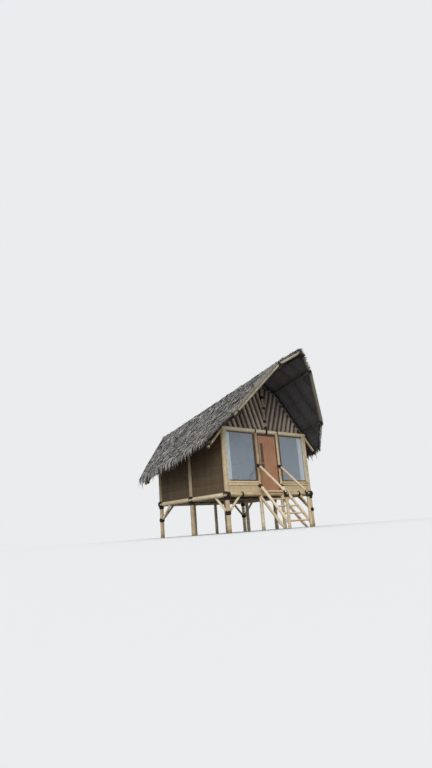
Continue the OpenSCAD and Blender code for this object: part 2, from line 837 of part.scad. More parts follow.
// From past the wall plate to the kink a pole, at the front a stacked pair, then one to the ridge
module rake_poles() {
    ridge_gap = rake_r * tan(strip_angle(RIDGE)) + fit;
    color(pale_bamboo) both_sides() for (back = [0, 1]) {
        rake_pole(RIDGE, back, lay_rake, ridge_gap, -rake_gap);
        rake_pole(KINK, back, lay_rake, rake_gap, rake_past);
    }
    color(pale_bamboo) both_sides() rake_pole(KINK, 0, lay_rake_upper, rake_gap, rake_past);
}

module left_mat() {
    color(brown_weave) mirror([1, 0, 0]) slope_skin(RIDGE, EAVE, lay_mat, lay_mat + mat_t, mat_inset);
}

module right_mat() {
    color(brown_weave) slope_skin(RIDGE, EAVE, lay_mat, lay_mat + mat_t, mat_inset);
}

// Straight edges where the slope bends, ragged ones at all other courses
function jags_at(i, k) = k == COURSES[i] && i < PLATE ? -1 : ROWS * i + k;

// Courses of thatch, each from a low start to a high ragged edge over the next
module slope_thatch() {
    starts = [cap_share, 0, 0];
    top = concat(
        [[RIDGE, 0, high_lift, -1], [RIDGE, cap_share, high_lift, -1]],
        [for (i = [RIDGE:PLATE]) for (k = [1:COURSES[i]]) let (step = (1 - starts[i]) / COURSES[i]) each [
            [i, starts[i] + (k - 1) * step, low_lift, k == 1 ? -1 : jags_at(i, k - 1)],
            [i, starts[i] + k * step, high_lift, jags_at(i, k)]]]
    );
    bottom = [
        [RIDGE, 0, lay_thatch, -1], [KINK, 0, lay_thatch, -1], [PLATE, 0, lay_thatch, -1],
        [PLATE, last_jags, lay_thatch, -1], [PLATE, 1, lay_thatch, jags_at(PLATE, COURSES[PLATE])]
    ];
    thatch_skin(top, bottom);
}

module left_thatch() {
    color(thatch_grey) mirror([1, 0, 0]) slope_thatch();
}

module right_thatch() {
    color(thatch_grey) slope_thatch();
}

// A folded strip of thatch over the ridge, ragged along its lower edges
module ridge_cap() {
    jags = 0;
    color(thatch_grey) both_sides() thatch_skin(
        [[RIDGE, 0, lay_cap + cap_t, -1], [RIDGE, cap_share, lay_cap + cap_t, jags]],
        [[RIDGE, 0, lay_cap, -1], [RIDGE, cap_share / 2, lay_cap, -1], [RIDGE, cap_share, lay_cap, jags]]
    );
}

// Line of the upper stringer at a given height
function stringer_y(z) = -(floor_h + stringer_top - z) / stringer_slope;

module stringer_poles(r) {
    pole([door_x, 0, floor_h + stringer_top], [door_x, newel_y, stringer_foot], r);
}

module stair_stringers() {
    lower_top = floor_h + stringer_top - stringer_gap;
    color(bamboo) both_sides() {
        difference() {
            stringer_poles(stringer_r);
            upright(door_x, 0, 0, top_z, cut(door_post_r));
            upright(door_x, newel_y, 0, top_z, cut(stringer_r));
        }
        intersection() {
            difference() {
                pole([door_x, 0, lower_top], [door_x, -lower_top / stringer_slope - stringer_r,
                    -stringer_r * stringer_slope], stringer_r);
                cross_beam(0, floor_h, cut(beam_r));
                upright(door_x, 0, 0, top_z, cut(door_post_r));
                upright(door_x, newel_y, 0, top_z, cut(stringer_r));
            }
            translate([0, -2 * newel_out, 0]) cube([2 * door_x, 2 * newel_out, top_z]);
        }
    }
}

module stair_treads() {
    color(pale_bamboo) difference() {
        for (k = [0:treads - 1]) {
            z = tread_top - tread_r - k * rise;
            for (side = [-1, 1]) {
                y = stringer_y(z) + side * (tread_r + fit);
                pole([-door_x, y, z], [door_x, y, z], tread_r);
            }
        }
        both_sides() {
            stringer_poles(cut(stringer_r));
            upright(door_x, newel_y, 0, top_z, cut(stringer_r));
        }
    }
}

module handrail(r) {
    pole([door_x, 0, floor_h + handrail_top], [door_x, newel_y - 1.5 * rail_r,
        newel_h - 1.5 * rail_r * (floor_h + handrail_top - newel_h) / newel_out], r);
}

module stair_handrails() {
    color(bamboo) both_sides() difference() {
        handrail(rail_r);
        upright(door_x, 0, 0, top_z, cut(door_post_r));
    }
}

module stair_newels() {
    color(bamboo) both_sides() difference() {
        upright(door_x, newel_y, 0, newel_h, stringer_r);
        handrail(cut(rail_r));
        translate([0, newel_y - 2 * stringer_r, newel_h]) cube([2 * door_x, 4 * stringer_r, stringer_r]);
    }
}

translate([0, shift_y, 0]) {
    front_corner_posts();
    side_posts();
    back_corner_posts();
    door_posts();
    door_stilts();
    inner_stilts();
    cross_beams();
    side_beams();
    floor_joists();
    floor_deck();
    knee_braces();
    front_top_beam();
    back_top_beam();
    sill_poles();
    front_panels();
    window_stiles();
    window_rails();
    window_glass();
    curtains();
    door_jambs();
    door_head();
    threshold_pole();
    door_leaf();
    door_pane();
    door_levers();
    door_hinge_leaves();
    door_hinge_pins();
    left_wall();
    right_wall();
    back_wall();
    back_gable();
    front_gable_poles();
    front_gable_mat();
    king_posts();
    principal_rafters();
    ridge_pole();
    kink_purlins();
    wall_plates();
    eave_poles();
    eave_struts();
    left_rafters();
    right_rafters();
    rake_poles();
    left_mat();
    right_mat();
    left_thatch();
    right_thatch();
    ridge_cap();
    stair_stringers();
    stair_treads();
    stair_handrails();
    stair_newels();
}
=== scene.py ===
"""The looks of the bamboo stilt house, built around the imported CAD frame.

Metres, +Z up, the frame's own axes. Poles, straw, lashings and curtains take their places from
the solids of the frame.
"""
import math
import zlib

import bpy
import numpy as np
from mathutils import Matrix, Vector

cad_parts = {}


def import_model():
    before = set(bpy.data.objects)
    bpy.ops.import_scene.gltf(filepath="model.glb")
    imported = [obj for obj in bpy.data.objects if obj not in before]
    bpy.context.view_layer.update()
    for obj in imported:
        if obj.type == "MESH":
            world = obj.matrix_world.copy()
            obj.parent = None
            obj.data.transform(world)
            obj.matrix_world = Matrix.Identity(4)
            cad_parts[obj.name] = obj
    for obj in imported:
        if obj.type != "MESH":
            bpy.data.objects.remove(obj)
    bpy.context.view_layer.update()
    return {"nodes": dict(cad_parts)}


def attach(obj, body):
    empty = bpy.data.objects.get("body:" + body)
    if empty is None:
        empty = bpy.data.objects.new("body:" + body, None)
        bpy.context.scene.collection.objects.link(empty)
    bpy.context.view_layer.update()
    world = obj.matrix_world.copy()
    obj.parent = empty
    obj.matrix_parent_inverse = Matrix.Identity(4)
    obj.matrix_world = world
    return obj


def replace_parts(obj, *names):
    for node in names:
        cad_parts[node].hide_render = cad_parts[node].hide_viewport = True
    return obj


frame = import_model()

# The body that new pieces ride on; the door keeps its CAD shapes
HOUSE = "house"

# Front and back, as signs of Y
FRONT, BACK = -1, 1

# Camera: the photograph's direction, lifted just over the floor
CAMERA_PLACE = (-13.622, -14.0375, 0.10)
CAMERA_YAW = 42.707
CAMERA_PITCH = 15.971
CAMERA_ROLL = -4.349
CAMERA_LENS = 24.037

# Bamboo: sides of a pole, distance between its nodes and how it departs from a straight cylinder
POLE_SIDES = 14
THIN_POLE_SIDES = 10
THIN_POLE_RADIUS = 0.033
NODE_PITCH = 0.33
NODE_PITCH_SPREAD = 0.12
FIRST_NODE = 0.08
LAST_NODE = 0.03
POLE_TAPER = 0.035
POLE_BOW = 0.0015
POLE_LOBE = 0.012
BETWEEN_NODES = 0.985
BORE_SHARE = 0.80
BORE_DEPTH = 0.04
BORE_CENTRE = 0.001

# Rings at a node: distance from it, share of the pole's radius and nearness to the node
NODE_RINGS = ((-0.040, 1.000, 0.50), (-0.012, 1.030, 0.80), (-0.003, 1.060, 0.93),
              (0.001, 1.020, 1.00), (0.007, 1.045, 0.90), (0.022, 1.010, 0.60))

# A blade of straw: where its waist lies, how wide it is there, how blades differ in width, and
# how far they lean to the front
BLADE_WAIST = 0.55
BLADE_WAIST_WIDTH = 0.8
WIDTH_SPREAD = (0.6, 1.3)
STRAW_LEAN = 0.13

# Straw in courses of tufts; the mats under it end inside the raked edges
MAT_INSET = 0.02
COURSE_PITCH = 0.125
FIRST_COURSE = 0.26
LAST_COURSE = 0.02
TUFT_PITCH = 0.060
TUFT_STALKS = 14
STALK_WIDTH = 0.012

# How straw droops past the eave: length and angle of each stretch
EAVE_DROOP = ((0.05, 60), (0.08, 74), (0.14, 82), (0.50, 88))

# Fringe of the eave, layer by layer: shade and its spread, depth under the skin, pitch of the
# locks, and how far the longest reaches past the shortest; the deeper layers are darker, as
# painted shade
FRINGE_LAYERS = ((0.04, 0.10, 0.05, 0.05, 0.06), (0.34, 0.26, 0.015, 0.085, 0.22),
                 (0.64, 0.28, -0.005, 0.115, 0.32))
FRINGE_ROOT = 0.12
FRINGE_REACH = 0.09
FRINGE_BACK_REACH = 0.22
LOCK_STALKS = 22
LOCK_HALF_WIDTH = 0.048
LOCK_STALK_WIDTH = 0.009

# Straw folded over the ridge: pitch of its stalks, and reach and lift of its two layers
RIDGE_STALK_PITCH = 0.0045
RIDGE_LAYERS = ((0.34, 0.030), (0.22, 0.042))
RIDGE_OVERHANG = 0.03

# Straw that spills over the raked edges, and the spikes that stand out above the kink
RAKE_STALK_PITCH = 0.004
RAKE_STALK_HALF = 0.005
SPIKE_PITCH = 0.028
SPIKE_STALKS = 12
SPIKE_HALF = 0.007

# Rope: its radius, its layers round the ridge's tips (radius, length, distance from the tip), and
# the places of the bindings that no crossing gives
THICK_ROPE = 0.009
MIDDLE_ROPE = 0.008
THIN_ROPE = 0.007
RIDGE_ROPE = 0.016
RIDGE_COILS = ((0.055, 0.17, 0.10), (0.080, 0.15, 0.12), (0.105, 0.10, 0.14))
RIDGE_FIBRES = 260
BELOW_BEAM = 0.13
BRACE_FOOT = 0.57
FRONT_BEAM_BINDINGS = (-1.45, 1.45)
TOP_BEAM_BINDINGS = (-0.58, 0.58)
KING_POST_BINDINGS = (0.10, 0.33, 0.83, 1.23)

CURTAIN_FOLDS = 6
CURTAIN_ROWS = 40
CURTAIN_COLUMNS = 96

FLOOR_SIDES = 96
FLOOR_RADIUS = 60


def rng_for(name):
    """A random generator that depends only on a piece's name."""
    return np.random.default_rng(zlib.crc32(name.encode()))


def unit(v):
    """A single vector at length 1."""
    return v / np.linalg.norm(v)


def srgb(r, g, b, alpha=1.0):
    """A linear colour from one written as on a screen, 0 to 255."""
    def linear(c):
        c = c / 255
        return c / 12.92 if c <= 0.04045 else ((c + 0.055) / 1.055) ** 2.4
    return (linear(r), linear(g), linear(b), alpha)


# Meshes

def mesh_object(name, points, triangles, floats=None, vectors=None, smooth=True):
    """A mesh from arrays of points and triangles, with attributes by point."""
    mesh = bpy.data.meshes.new(name)
    points = np.asarray(points, np.float32)
    triangles = np.asarray(triangles, np.int32)
    mesh.vertices.add(len(points))
    mesh.vertices.foreach_set("co", points.ravel())
    mesh.loops.add(triangles.size)
    mesh.loops.foreach_set("vertex_index", triangles.ravel())
    mesh.polygons.add(len(triangles))
    mesh.polygons.foreach_set("loop_start", np.arange(len(triangles), dtype=np.int32) * 3)
    mesh.polygons.foreach_set("use_smooth", np.full(len(triangles), smooth))
    mesh.update(calc_edges=True)
    for key, values in (floats or {}).items():
        mesh.attributes.new(key, "FLOAT", "POINT").data.foreach_set(
            "value", np.asarray(values, np.float32))
    for key, values in (vectors or {}).items():
        mesh.attributes.new(key, "FLOAT_VECTOR", "POINT").data.foreach_set(
            "vector", np.asarray(values, np.float32).ravel())
    mesh.validate()
    made = bpy.data.objects.new(name, mesh)
    bpy.context.scene.collection.objects.link(made)
    return made


def dress(piece, material, replaces=()):
    """Gives a new piece its material, its body and the nodes that it stands for."""
    piece.data.materials.append(material)
    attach(piece, HOUSE)
    if replaces:
        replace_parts(piece, *replaces)


def grid_triangles(rows, columns, closed):
    """Triangles of a grid of points, row by row, whose columns may close on themselves."""
    across = columns if closed else columns - 1
    r, c = np.meshgrid(np.arange(rows - 1), np.arange(across), indexing="ij")
    a = r * columns + c
    b = r * columns + (c + 1) % columns
    lower = np.stack([a, b, b + columns], -1).reshape(-1, 3)
    upper = np.stack([a, b + columns, a + columns], -1).reshape(-1, 3)
    return np.concatenate([lower, upper])


class Batch:
    """Collects many small meshes that become one piece."""

    def __init__(self):
        self.points, self.triangles, self.floats, self.vectors = [], [], {}, {}
        self.count = 0

    def add(self, points, triangles, floats=None, vectors=None):
        points = np.asarray(points, float).reshape(-1, 3)
        self.points.append(points)
        self.triangles.append(np.asarray(triangles) + self.count)
        self.count += len(points)
        for key, values in (floats or {}).items():
            self.floats.setdefault(key, []).append(np.broadcast_to(values, len(points)))
        for key, values in (vectors or {}).items():
            self.vectors.setdefault(key, []).append(values)

    def object(self, name, smooth=True):
        return mesh_object(
            name, np.concatenate(self.points), np.concatenate(self.triangles),
            {k: np.concatenate(v) for k, v in self.floats.items()},
            {k: np.concatenate(v) for k, v in self.vectors.items()}, smooth)


# Solids of the frame

def solids(node):
    """For each solid of a CAD node: its triangles as an array of corners, from a welded mesh."""
    mesh = frame["nodes"][node].data
    co = np.zeros(len(mesh.vertices) * 3)
    mesh.vertices.foreach_get("co", co)
    co = co.reshape(-1, 3)
    mesh.calc_loop_triangles()
    tris = np.zeros(len(mesh.loop_triangles) * 3, np.int32)
    mesh.loop_triangles.foreach_get("vertices", tris)
    tris = tris.reshape(-1, 3)
    weld = np.unique(np.round(co, 5), axis=0, return_inverse=True)[1].ravel()
    label = np.arange(weld.max() + 1)
    welded = weld[tris]
    while True:
        least = label[welded].min(1)
        before = label.copy()
        for k in range(3):
            np.minimum.at(label, welded[:, k], least)
        label = label[label]
        if (label == before).all():
            break
    owner = label[welded[:, 0]]
    return [co[tris[owner == k]] for k in np.unique(owner)]


class Pole:
    """Axis, ends and radius of a round solid, fitted to its faces."""

    def __init__(self, corners):
        normals = np.cross(corners[:, 1] - corners[:, 0], corners[:, 2] - corners[:, 0])
        areas = np.linalg.norm(normals, axis=1)
        keep = areas > 1e-12
        corners, normals, areas = corners[keep], normals[keep], areas[keep]
        normals = normals / areas[:, None]
        # The axis lies square to the side's faces; cut ends lose their weight step by step
        weights = areas
        for _ in range(6):
            spread = (normals * weights[:, None]).T @ normals
            axis = np.linalg.eigh(spread)[1][:, 0]
            weights = areas * (np.abs(normals @ axis) < 0.08)
        if axis[np.argmax(np.abs(axis))] < 0:
            axis = -axis
        self.axis = axis
        self.u = unit(np.cross(axis, [0, 0, 1] if abs(axis[2]) < 0.9 else [0, 1, 0]))
        self.v = np.cross(axis, self.u)
        side = corners[weights > 0].reshape(-1, 3)
        flat = np.stack([side @ self.u, side @ self.v, np.ones(len(side))], 1)
        fit = np.linalg.lstsq(flat, (flat[:, :2] ** 2).sum(1), rcond=None)[0]
        middle = fit[0] / 2 * self.u + fit[1] / 2 * self.v
        self.radius = math.sqrt(fit[2] + fit[0] ** 2 / 4 + fit[1] ** 2 / 4)
        along = corners.reshape(-1, 3) @ axis
        self.start = middle + axis * along.min()
        self.end = middle + axis * along.max()
        self.length = along.max() - along.min()

    def at(self, distance):
        return self.start + self.axis * distance

    def at_z(self, z):
        return self.at((z - self.start[2]) / self.axis[2])

    def at_x(self, x):
        return self.at((x - self.start[0]) / self.axis[0])


def poles_of(node):
    return [Pole(c) for c in solids(node)]


# Materials

class Graph:
    """A short way to write the nodes of a material or a world."""

    def __init__(self, made, shader="Principled BSDF"):
        if isinstance(made, str):
            made = bpy.data.materials.new(made)
        made.use_nodes = True
        self.made = made
        self.tree = made.node_tree
        self.shader = self.tree.nodes[shader]

    def set(self, socket, value):
        if isinstance(value, bpy.types.NodeSocket):
            self.tree.links.new(value, socket)
        else:
            socket.default_value = value

    def add(self, kind, inputs=None, **settings):
        node = self.tree.nodes.new("ShaderNode" + kind)
        for key, value in settings.items():
            setattr(node, key, value)
        for key, value in (inputs or {}).items():
            self.set(node.inputs[key], value)
        return node

    def attribute(self, name, output="Fac"):
        return self.add("Attribute", attribute_name=name).outputs[output]

    def place(self):
        return self.add("TexCoord").outputs["Object"]

    def scaled(self, vector, scale):
        return self.add("Mapping", {"Vector": vector, "Scale": scale}).outputs["Vector"]

    def noise(self, vector, scale, detail=3.0, roughness=0.55, distortion=0.0):
        return self.add("TexNoise", {
            "Vector": vector, "Scale": scale, "Detail": detail, "Roughness": roughness,
            "Distortion": distortion}).outputs["Fac"]

    def math(self, operation, a, b=0.0):
        return self.add("Math", {0: a, 1: b}, operation=operation).outputs[0]

    def total(self, *parts):
        """The sum of values, each times its weight."""
        terms = [self.math("MULTIPLY", value, weight) for value, weight in parts]
        tone = terms[0]
        for term in terms[1:]:
            tone = self.math("ADD", tone, term)
        return tone

    def span(self, value, low, high, to_low=0.0, to_high=1.0):
        return self.add("MapRange", {"Value": value, "From Min": low, "From Max": high,
                                     "To Min": to_low, "To Max": to_high}).outputs["Result"]

    def mix(self, factor, a, b):
        node = self.add("Mix", data_type="RGBA")
        self.set(node.inputs[0], factor)
        self.set(node.inputs[6], a)
        self.set(node.inputs[7], b)
        return node.outputs[2]

    def choose(self, factor, a, b):
        return self.add("Mix", {0: factor, 2: a, 3: b}, data_type="FLOAT").outputs[0]

    def ramp(self, factor, stops):
        node = self.add("ValToRGB", {"Fac": factor})
        elements = node.color_ramp.elements
        while len(elements) < len(stops):
            elements.new(0.5)
        for element, (place, colour) in zip(elements, stops):
            element.position = place
            element.color = colour
        return node.outputs["Color"]

    def bump(self, height, strength, distance):
        return self.add("Bump", {"Height": height, "Strength": strength,
                                 "Distance": distance}).outputs["Normal"]

    def finish(self, colour, roughness=0.6, normal=None, **inputs):
        self.set(self.shader.inputs["Base Color"], colour)
        self.set(self.shader.inputs["Roughness"], roughness)
        if normal:
            self.set(self.shader.inputs["Normal"], normal)
        for key, value in inputs.items():
            self.set(self.shader.inputs[key.replace("_", " ")], value)
        return self.made


def bamboo_material(name, pale, middle, dark, node_colour):
    """Round bamboo: streaked along the pole, ringed at its nodes, each pole of its own shade."""
    g = Graph(name)
    place = g.attribute("pole_place", "Vector")
    ring = g.attribute("pole_ring")
    streak = g.noise(g.scaled(place, (1, 1, 0.045)), 90, 4, 0.6)
    blotch = g.noise(g.scaled(place, (1, 1, 0.35)), 9, 3, 0.6)
    speck = g.noise(g.scaled(place, (1, 1, 0.6)), 160, 2, 0.7)
    tone = g.total((g.attribute("pole_shade"), 0.42), (blotch, 0.62), (streak, 0.30))
    tone = g.math("SUBTRACT", tone, 0.17)
    colour = g.ramp(tone, [(0.12, dark), (0.46, middle), (0.85, pale)])
    specks = g.span(speck, 0.66, 0.74)
    colour = g.mix(g.math("MULTIPLY", specks, 0.5), colour, dark)
    wax = g.span(ring, 0.55, 0.85)
    colour = g.mix(g.math("MULTIPLY", wax, 0.25), colour, pale)
    scar = g.span(ring, 0.86, 0.97)
    colour = g.mix(g.math("MULTIPLY", scar, 0.75), colour, node_colour)
    # Inside the hollow ends the colour turns dark brown: painted shade in the bore
    colour = g.mix(g.attribute("pole_bore"), colour, srgb(70, 50, 32))
    rough = g.span(streak, 0.3, 0.7, 0.42, 0.62)
    height = g.math("ADD", streak, g.math("MULTIPLY", speck, 0.4))
    return g.finish(colour, rough, g.bump(height, 0.35, 0.002))


def weave_material(name, pale, dark, gap, strip, lies=False):
    """A bamboo mat: flat strips over and under each other by twos, upright or lying."""
    g = Graph(name)
    parts = g.add("SeparateXYZ", {0: g.place()}).outputs
    if lies:
        run, rise = parts["X"], parts["Y"]
    else:
        run, rise = g.math("ADD", parts["X"], parts["Y"]), parts["Z"]
    u = g.math("DIVIDE", run, strip)
    v = g.math("DIVIDE", rise, strip)
    cell_u, cell_v = g.math("FLOOR", u), g.math("FLOOR", v)
    turn = g.math("FLOORED_MODULO", g.math("ADD", cell_u, cell_v), 4.0)
    step = g.math("FLOOR", g.math("DIVIDE", turn, 2.0))
    across = g.choose(step, g.math("SUBTRACT", u, cell_u), g.math("SUBTRACT", v, cell_v))
    crown = g.math("SINE", g.math("MULTIPLY", across, math.pi))
    strand = g.choose(step, cell_u, cell_v)
    seed = g.math("ADD", strand, g.math("MULTIPLY", step, 57.0))
    per_strip = g.add("TexWhiteNoise", {"W": seed}, noise_dimensions="1D").outputs["Value"]
    grain = g.noise(g.place(), 120, 3, 0.6)
    stain = g.noise(g.place(), 2.3, 4, 0.6)
    tone = g.total((per_strip, 0.45), (grain, 0.35), (stain, 0.35))
    colour = g.ramp(tone, [(0.25, dark), (0.85, pale)])
    # The strips darken towards their edges to the gap colour: painted shade in the crevices between
    # strips
    edge = g.span(crown, 0.0, 0.42, 1.0, 0.0)
    colour = g.mix(g.math("MULTIPLY", edge, 0.8), colour, gap)
    height = g.total((crown, 0.8), (grain, 0.2))
    return g.finish(colour, 0.7, g.bump(height, 0.6, strip * 0.25))


def straw_material(name, pale, middle, dark, warm):
    """Weathered straw: each stalk of its own shade, darker to its root as painted shade, in
    patches.
    """
    g = Graph(name)
    place = g.place()
    patches = g.noise(place, 1.7, 4, 0.6)
    grain = g.noise(place, 60, 2, 0.6)
    # stalk_along darkens each stalk towards its root: painted shade under the course above
    tone = g.total((g.attribute("stalk_shade"), 0.88), (patches, 0.24), (grain, 0.12),
                   (g.attribute("stalk_along"), 0.46))
    tone = g.math("SUBTRACT", tone, 0.37)
    colour = g.ramp(tone, [(0.10, dark), (0.42, middle), (0.88, pale)])
    tint = g.noise(place, 6.0, 3, 0.7)
    colour = g.mix(g.math("MULTIPLY", g.span(tint, 0.45, 0.75), 0.35), colour, warm)
    return g.finish(colour, 0.85)


def slab_material(name, pale, dark):
    """The body of the thatch under the straw, streaked down the slope."""
    g = Graph(name)
    streak = g.noise(g.scaled(g.place(), (1, 6, 1)), 22, 4, 0.7, 0.4)
    tone = g.total((streak, 0.7), (g.noise(g.place(), 2.0, 4), 0.3))
    colour = g.ramp(tone, [(0.3, dark), (0.7, pale)])
    return g.finish(colour, 0.9, g.bump(streak, 0.9, 0.03))


def rope_material():
    """Dark, fibrous rope of palm fibre."""
    g = Graph("palm_rope")
    fibre = g.noise(g.place(), 240, 3, 0.7)
    colour = g.ramp(fibre, [(0.3, srgb(16, 13, 12)), (0.7, srgb(62, 50, 42))])
    return g.finish(colour, 0.85, g.bump(fibre, 0.6, 0.002))


def plywood_material():
    """Reddish plywood with cloudy, upright grain."""
    g = Graph("plywood")
    grain = g.noise(g.scaled(g.place(), (1, 1, 0.09)), 26, 5, 0.62, 1.2)
    rings = g.add("TexWave", {
        "Vector": g.scaled(g.place(), (1, 1, 0.16)), "Scale": 5.5, "Distortion": 6.0,
        "Detail": 3.0, "Detail Scale": 1.2}, wave_type="BANDS").outputs["Fac"]
    tone = g.total((grain, 0.55), (rings, 0.22), (g.noise(g.place(), 2.6, 3), 0.3))
    colour = g.ramp(tone, [(0.3, srgb(146, 98, 70)), (0.55, srgb(182, 130, 96)),
                           (0.8, srgb(206, 156, 120))])
    return g.finish(colour, g.span(grain, 0.3, 0.7, 0.38, 0.52), g.bump(grain, 0.15, 0.001))


def upright_grain(g):
    """Grain of sawn wood that stands upright."""
    return g.noise(g.scaled(g.place(), (1, 1, 0.12)), 60, 4, 0.6, 0.5)


def wood_material(name, pale, dark):
    """Sawn wood."""
    g = Graph(name)
    grain = upright_grain(g)
    tone = g.total((grain, 0.7), (g.noise(g.place(), 5, 2), 0.3))
    colour = g.ramp(tone, [(0.3, dark), (0.72, pale)])
    return g.finish(colour, 0.55, g.bump(grain, 0.3, 0.0015))


def stile_material(name, pale, brown, turn):
    """Window stiles: painted pale beside the corner posts, brown wood beside the door."""
    g = Graph(name)
    out = g.math("ABSOLUTE", g.add("SeparateXYZ", {0: g.place()}).outputs["X"])
    grain = upright_grain(g)
    painted = g.ramp(g.noise(g.place(), 8, 3), [(0.3, pale[1]), (0.7, pale[0])])
    wood = g.ramp(grain, [(0.3, brown[1]), (0.7, brown[0])])
    colour = g.mix(g.math("GREATER_THAN", out, turn), wood, painted)
    return g.finish(colour, 0.6, g.bump(grain, 0.25, 0.0012))


def glass_material(name, tint, alpha, ior):
    """Glass that mirrors the pale sky and lets the room show a little."""
    g = Graph(name)
    ripple = g.noise(g.place(), 1.4, 2)
    return g.finish(tint, 0.04, g.bump(ripple, 0.05, 0.01), Alpha=alpha, IOR=ior)


def cloth_material():
    """Thin white cloth; its faint emission stands for the daylight that comes through it."""
    g = Graph("curtain_cloth")
    weave = g.noise(g.place(), 380, 2)
    cloud = g.noise(g.place(), 3.0, 2)
    colour = g.ramp(cloud, [(0.3, srgb(216, 218, 212)), (0.7, srgb(238, 239, 235))])
    return g.finish(colour, 0.9, g.bump(weave, 0.2, 0.001),
                    Emission_Color=srgb(238, 240, 238), Emission_Strength=0.14)


def steel_material():
    """Steel brushed upright."""
    g = Graph("brushed_steel")
    brush = g.noise(g.scaled(g.place(), (1, 1, 0.05)), 400, 3)
    colour = g.ramp(brush, [(0.3, srgb(150, 150, 148)), (0.7, srgb(196, 196, 194))])
    return g.finish(colour, g.span(brush, 0.3, 0.7, 0.28, 0.42), Metallic=1.0)


BAMBOO = bamboo_material(
    "bamboo", srgb(248, 236, 208), srgb(224, 204, 168), srgb(166, 140, 106), srgb(84, 64, 46))
PALE_BAMBOO = bamboo_material(
    "pale_bamboo", srgb(244, 230, 196), srgb(220, 198, 156), srgb(172, 144, 104),
    srgb(92, 72, 52))
GREY_BAMBOO = bamboo_material(
    "grey_bamboo", srgb(196, 189, 164), srgb(154, 147, 126), srgb(100, 94, 82), srgb(52, 48, 42))
# The gable's bamboo is a darker, greyer copy of the bamboo: painted shade under the roof
GABLE_BAMBOO = bamboo_material(
    "gable_bamboo", srgb(206, 192, 174), srgb(172, 154, 138), srgb(118, 102, 92),
    srgb(58, 48, 44))
# Bamboo under the roof and the floor: a grey, darkened copy of the bamboo, painted shade
PAINTED_SHADE_BAMBOO = bamboo_material(
    "dark_bamboo", srgb(112, 107, 106), srgb(84, 79, 80), srgb(54, 51, 52), srgb(30, 28, 28))
FRONT_WEAVE = weave_material(
    "front_weave", srgb(236, 219, 184), srgb(206, 180, 138), srgb(140, 112, 78), 0.026)
SIDE_WEAVE = weave_material(
    "side_weave", srgb(124, 106, 80), srgb(82, 67, 48), srgb(40, 32, 24), 0.030)
CEILING_WEAVE = weave_material(
    "ceiling_weave", srgb(122, 121, 128), srgb(90, 90, 98), srgb(46, 47, 54), 0.034, lies=True)
DECK_WEAVE = weave_material(
    "deck_weave", srgb(176, 148, 104), srgb(128, 102, 68), srgb(60, 44, 28), 0.05, lies=True)
STRAW = straw_material(
    "straw", srgb(204, 203, 200), srgb(134, 133, 131), srgb(40, 40, 42), srgb(134, 124, 108))
# The thatch body and ridge cap are painted dark as the shade in the gaps between the tufts over
# them
THATCH_BODY = slab_material("thatch_body", srgb(70, 68, 66), srgb(30, 29, 29))
ROPE = rope_material()
PLYWOOD = plywood_material()
DARK_WOOD = wood_material("dark_wood", srgb(86, 64, 46), srgb(48, 34, 24))
FRAME_WOOD = wood_material("frame_wood", srgb(120, 92, 64), srgb(70, 50, 34))
STILE = stile_material("stile", (srgb(226, 224, 208), srgb(196, 190, 168)),
                       (srgb(112, 86, 62), srgb(66, 48, 34)), 1.4)
# The window glass's pale blue-grey colour is painted sky reflection, on top of its real mirror of
# the sky
GLASS = glass_material("window_glass", srgb(182, 200, 220), 0.36, 2.2)
DOOR_GLASS = glass_material("door_glass", srgb(74, 66, 52), 0.85, 1.5)
CLOTH = cloth_material()
STEEL = steel_material()


# Bamboo poles

def ring_profile(length, rng):
    """Rings of one pole: distance along it, share of its radius and nearness to a node."""
    phase = rng.uniform(FIRST_NODE, NODE_PITCH)
    nodes = []
    while phase < length - LAST_NODE:
        nodes.append(phase)
        phase += NODE_PITCH * (1 + rng.uniform(-NODE_PITCH_SPREAD, NODE_PITCH_SPREAD))
    rings = [(0.0, 1.0, 0.0), (length, 1.0, 0.0)]
    for k, place in enumerate(nodes):
        far = nodes[k + 1] - place if k + 1 < len(nodes) else NODE_PITCH
        rings += [(place + offset, share, near) for offset, share, near in NODE_RINGS]
        rings.append((place + far / 2, BETWEEN_NODES, 0.0))
    return sorted(r for r in rings if 0 <= r[0] <= length)


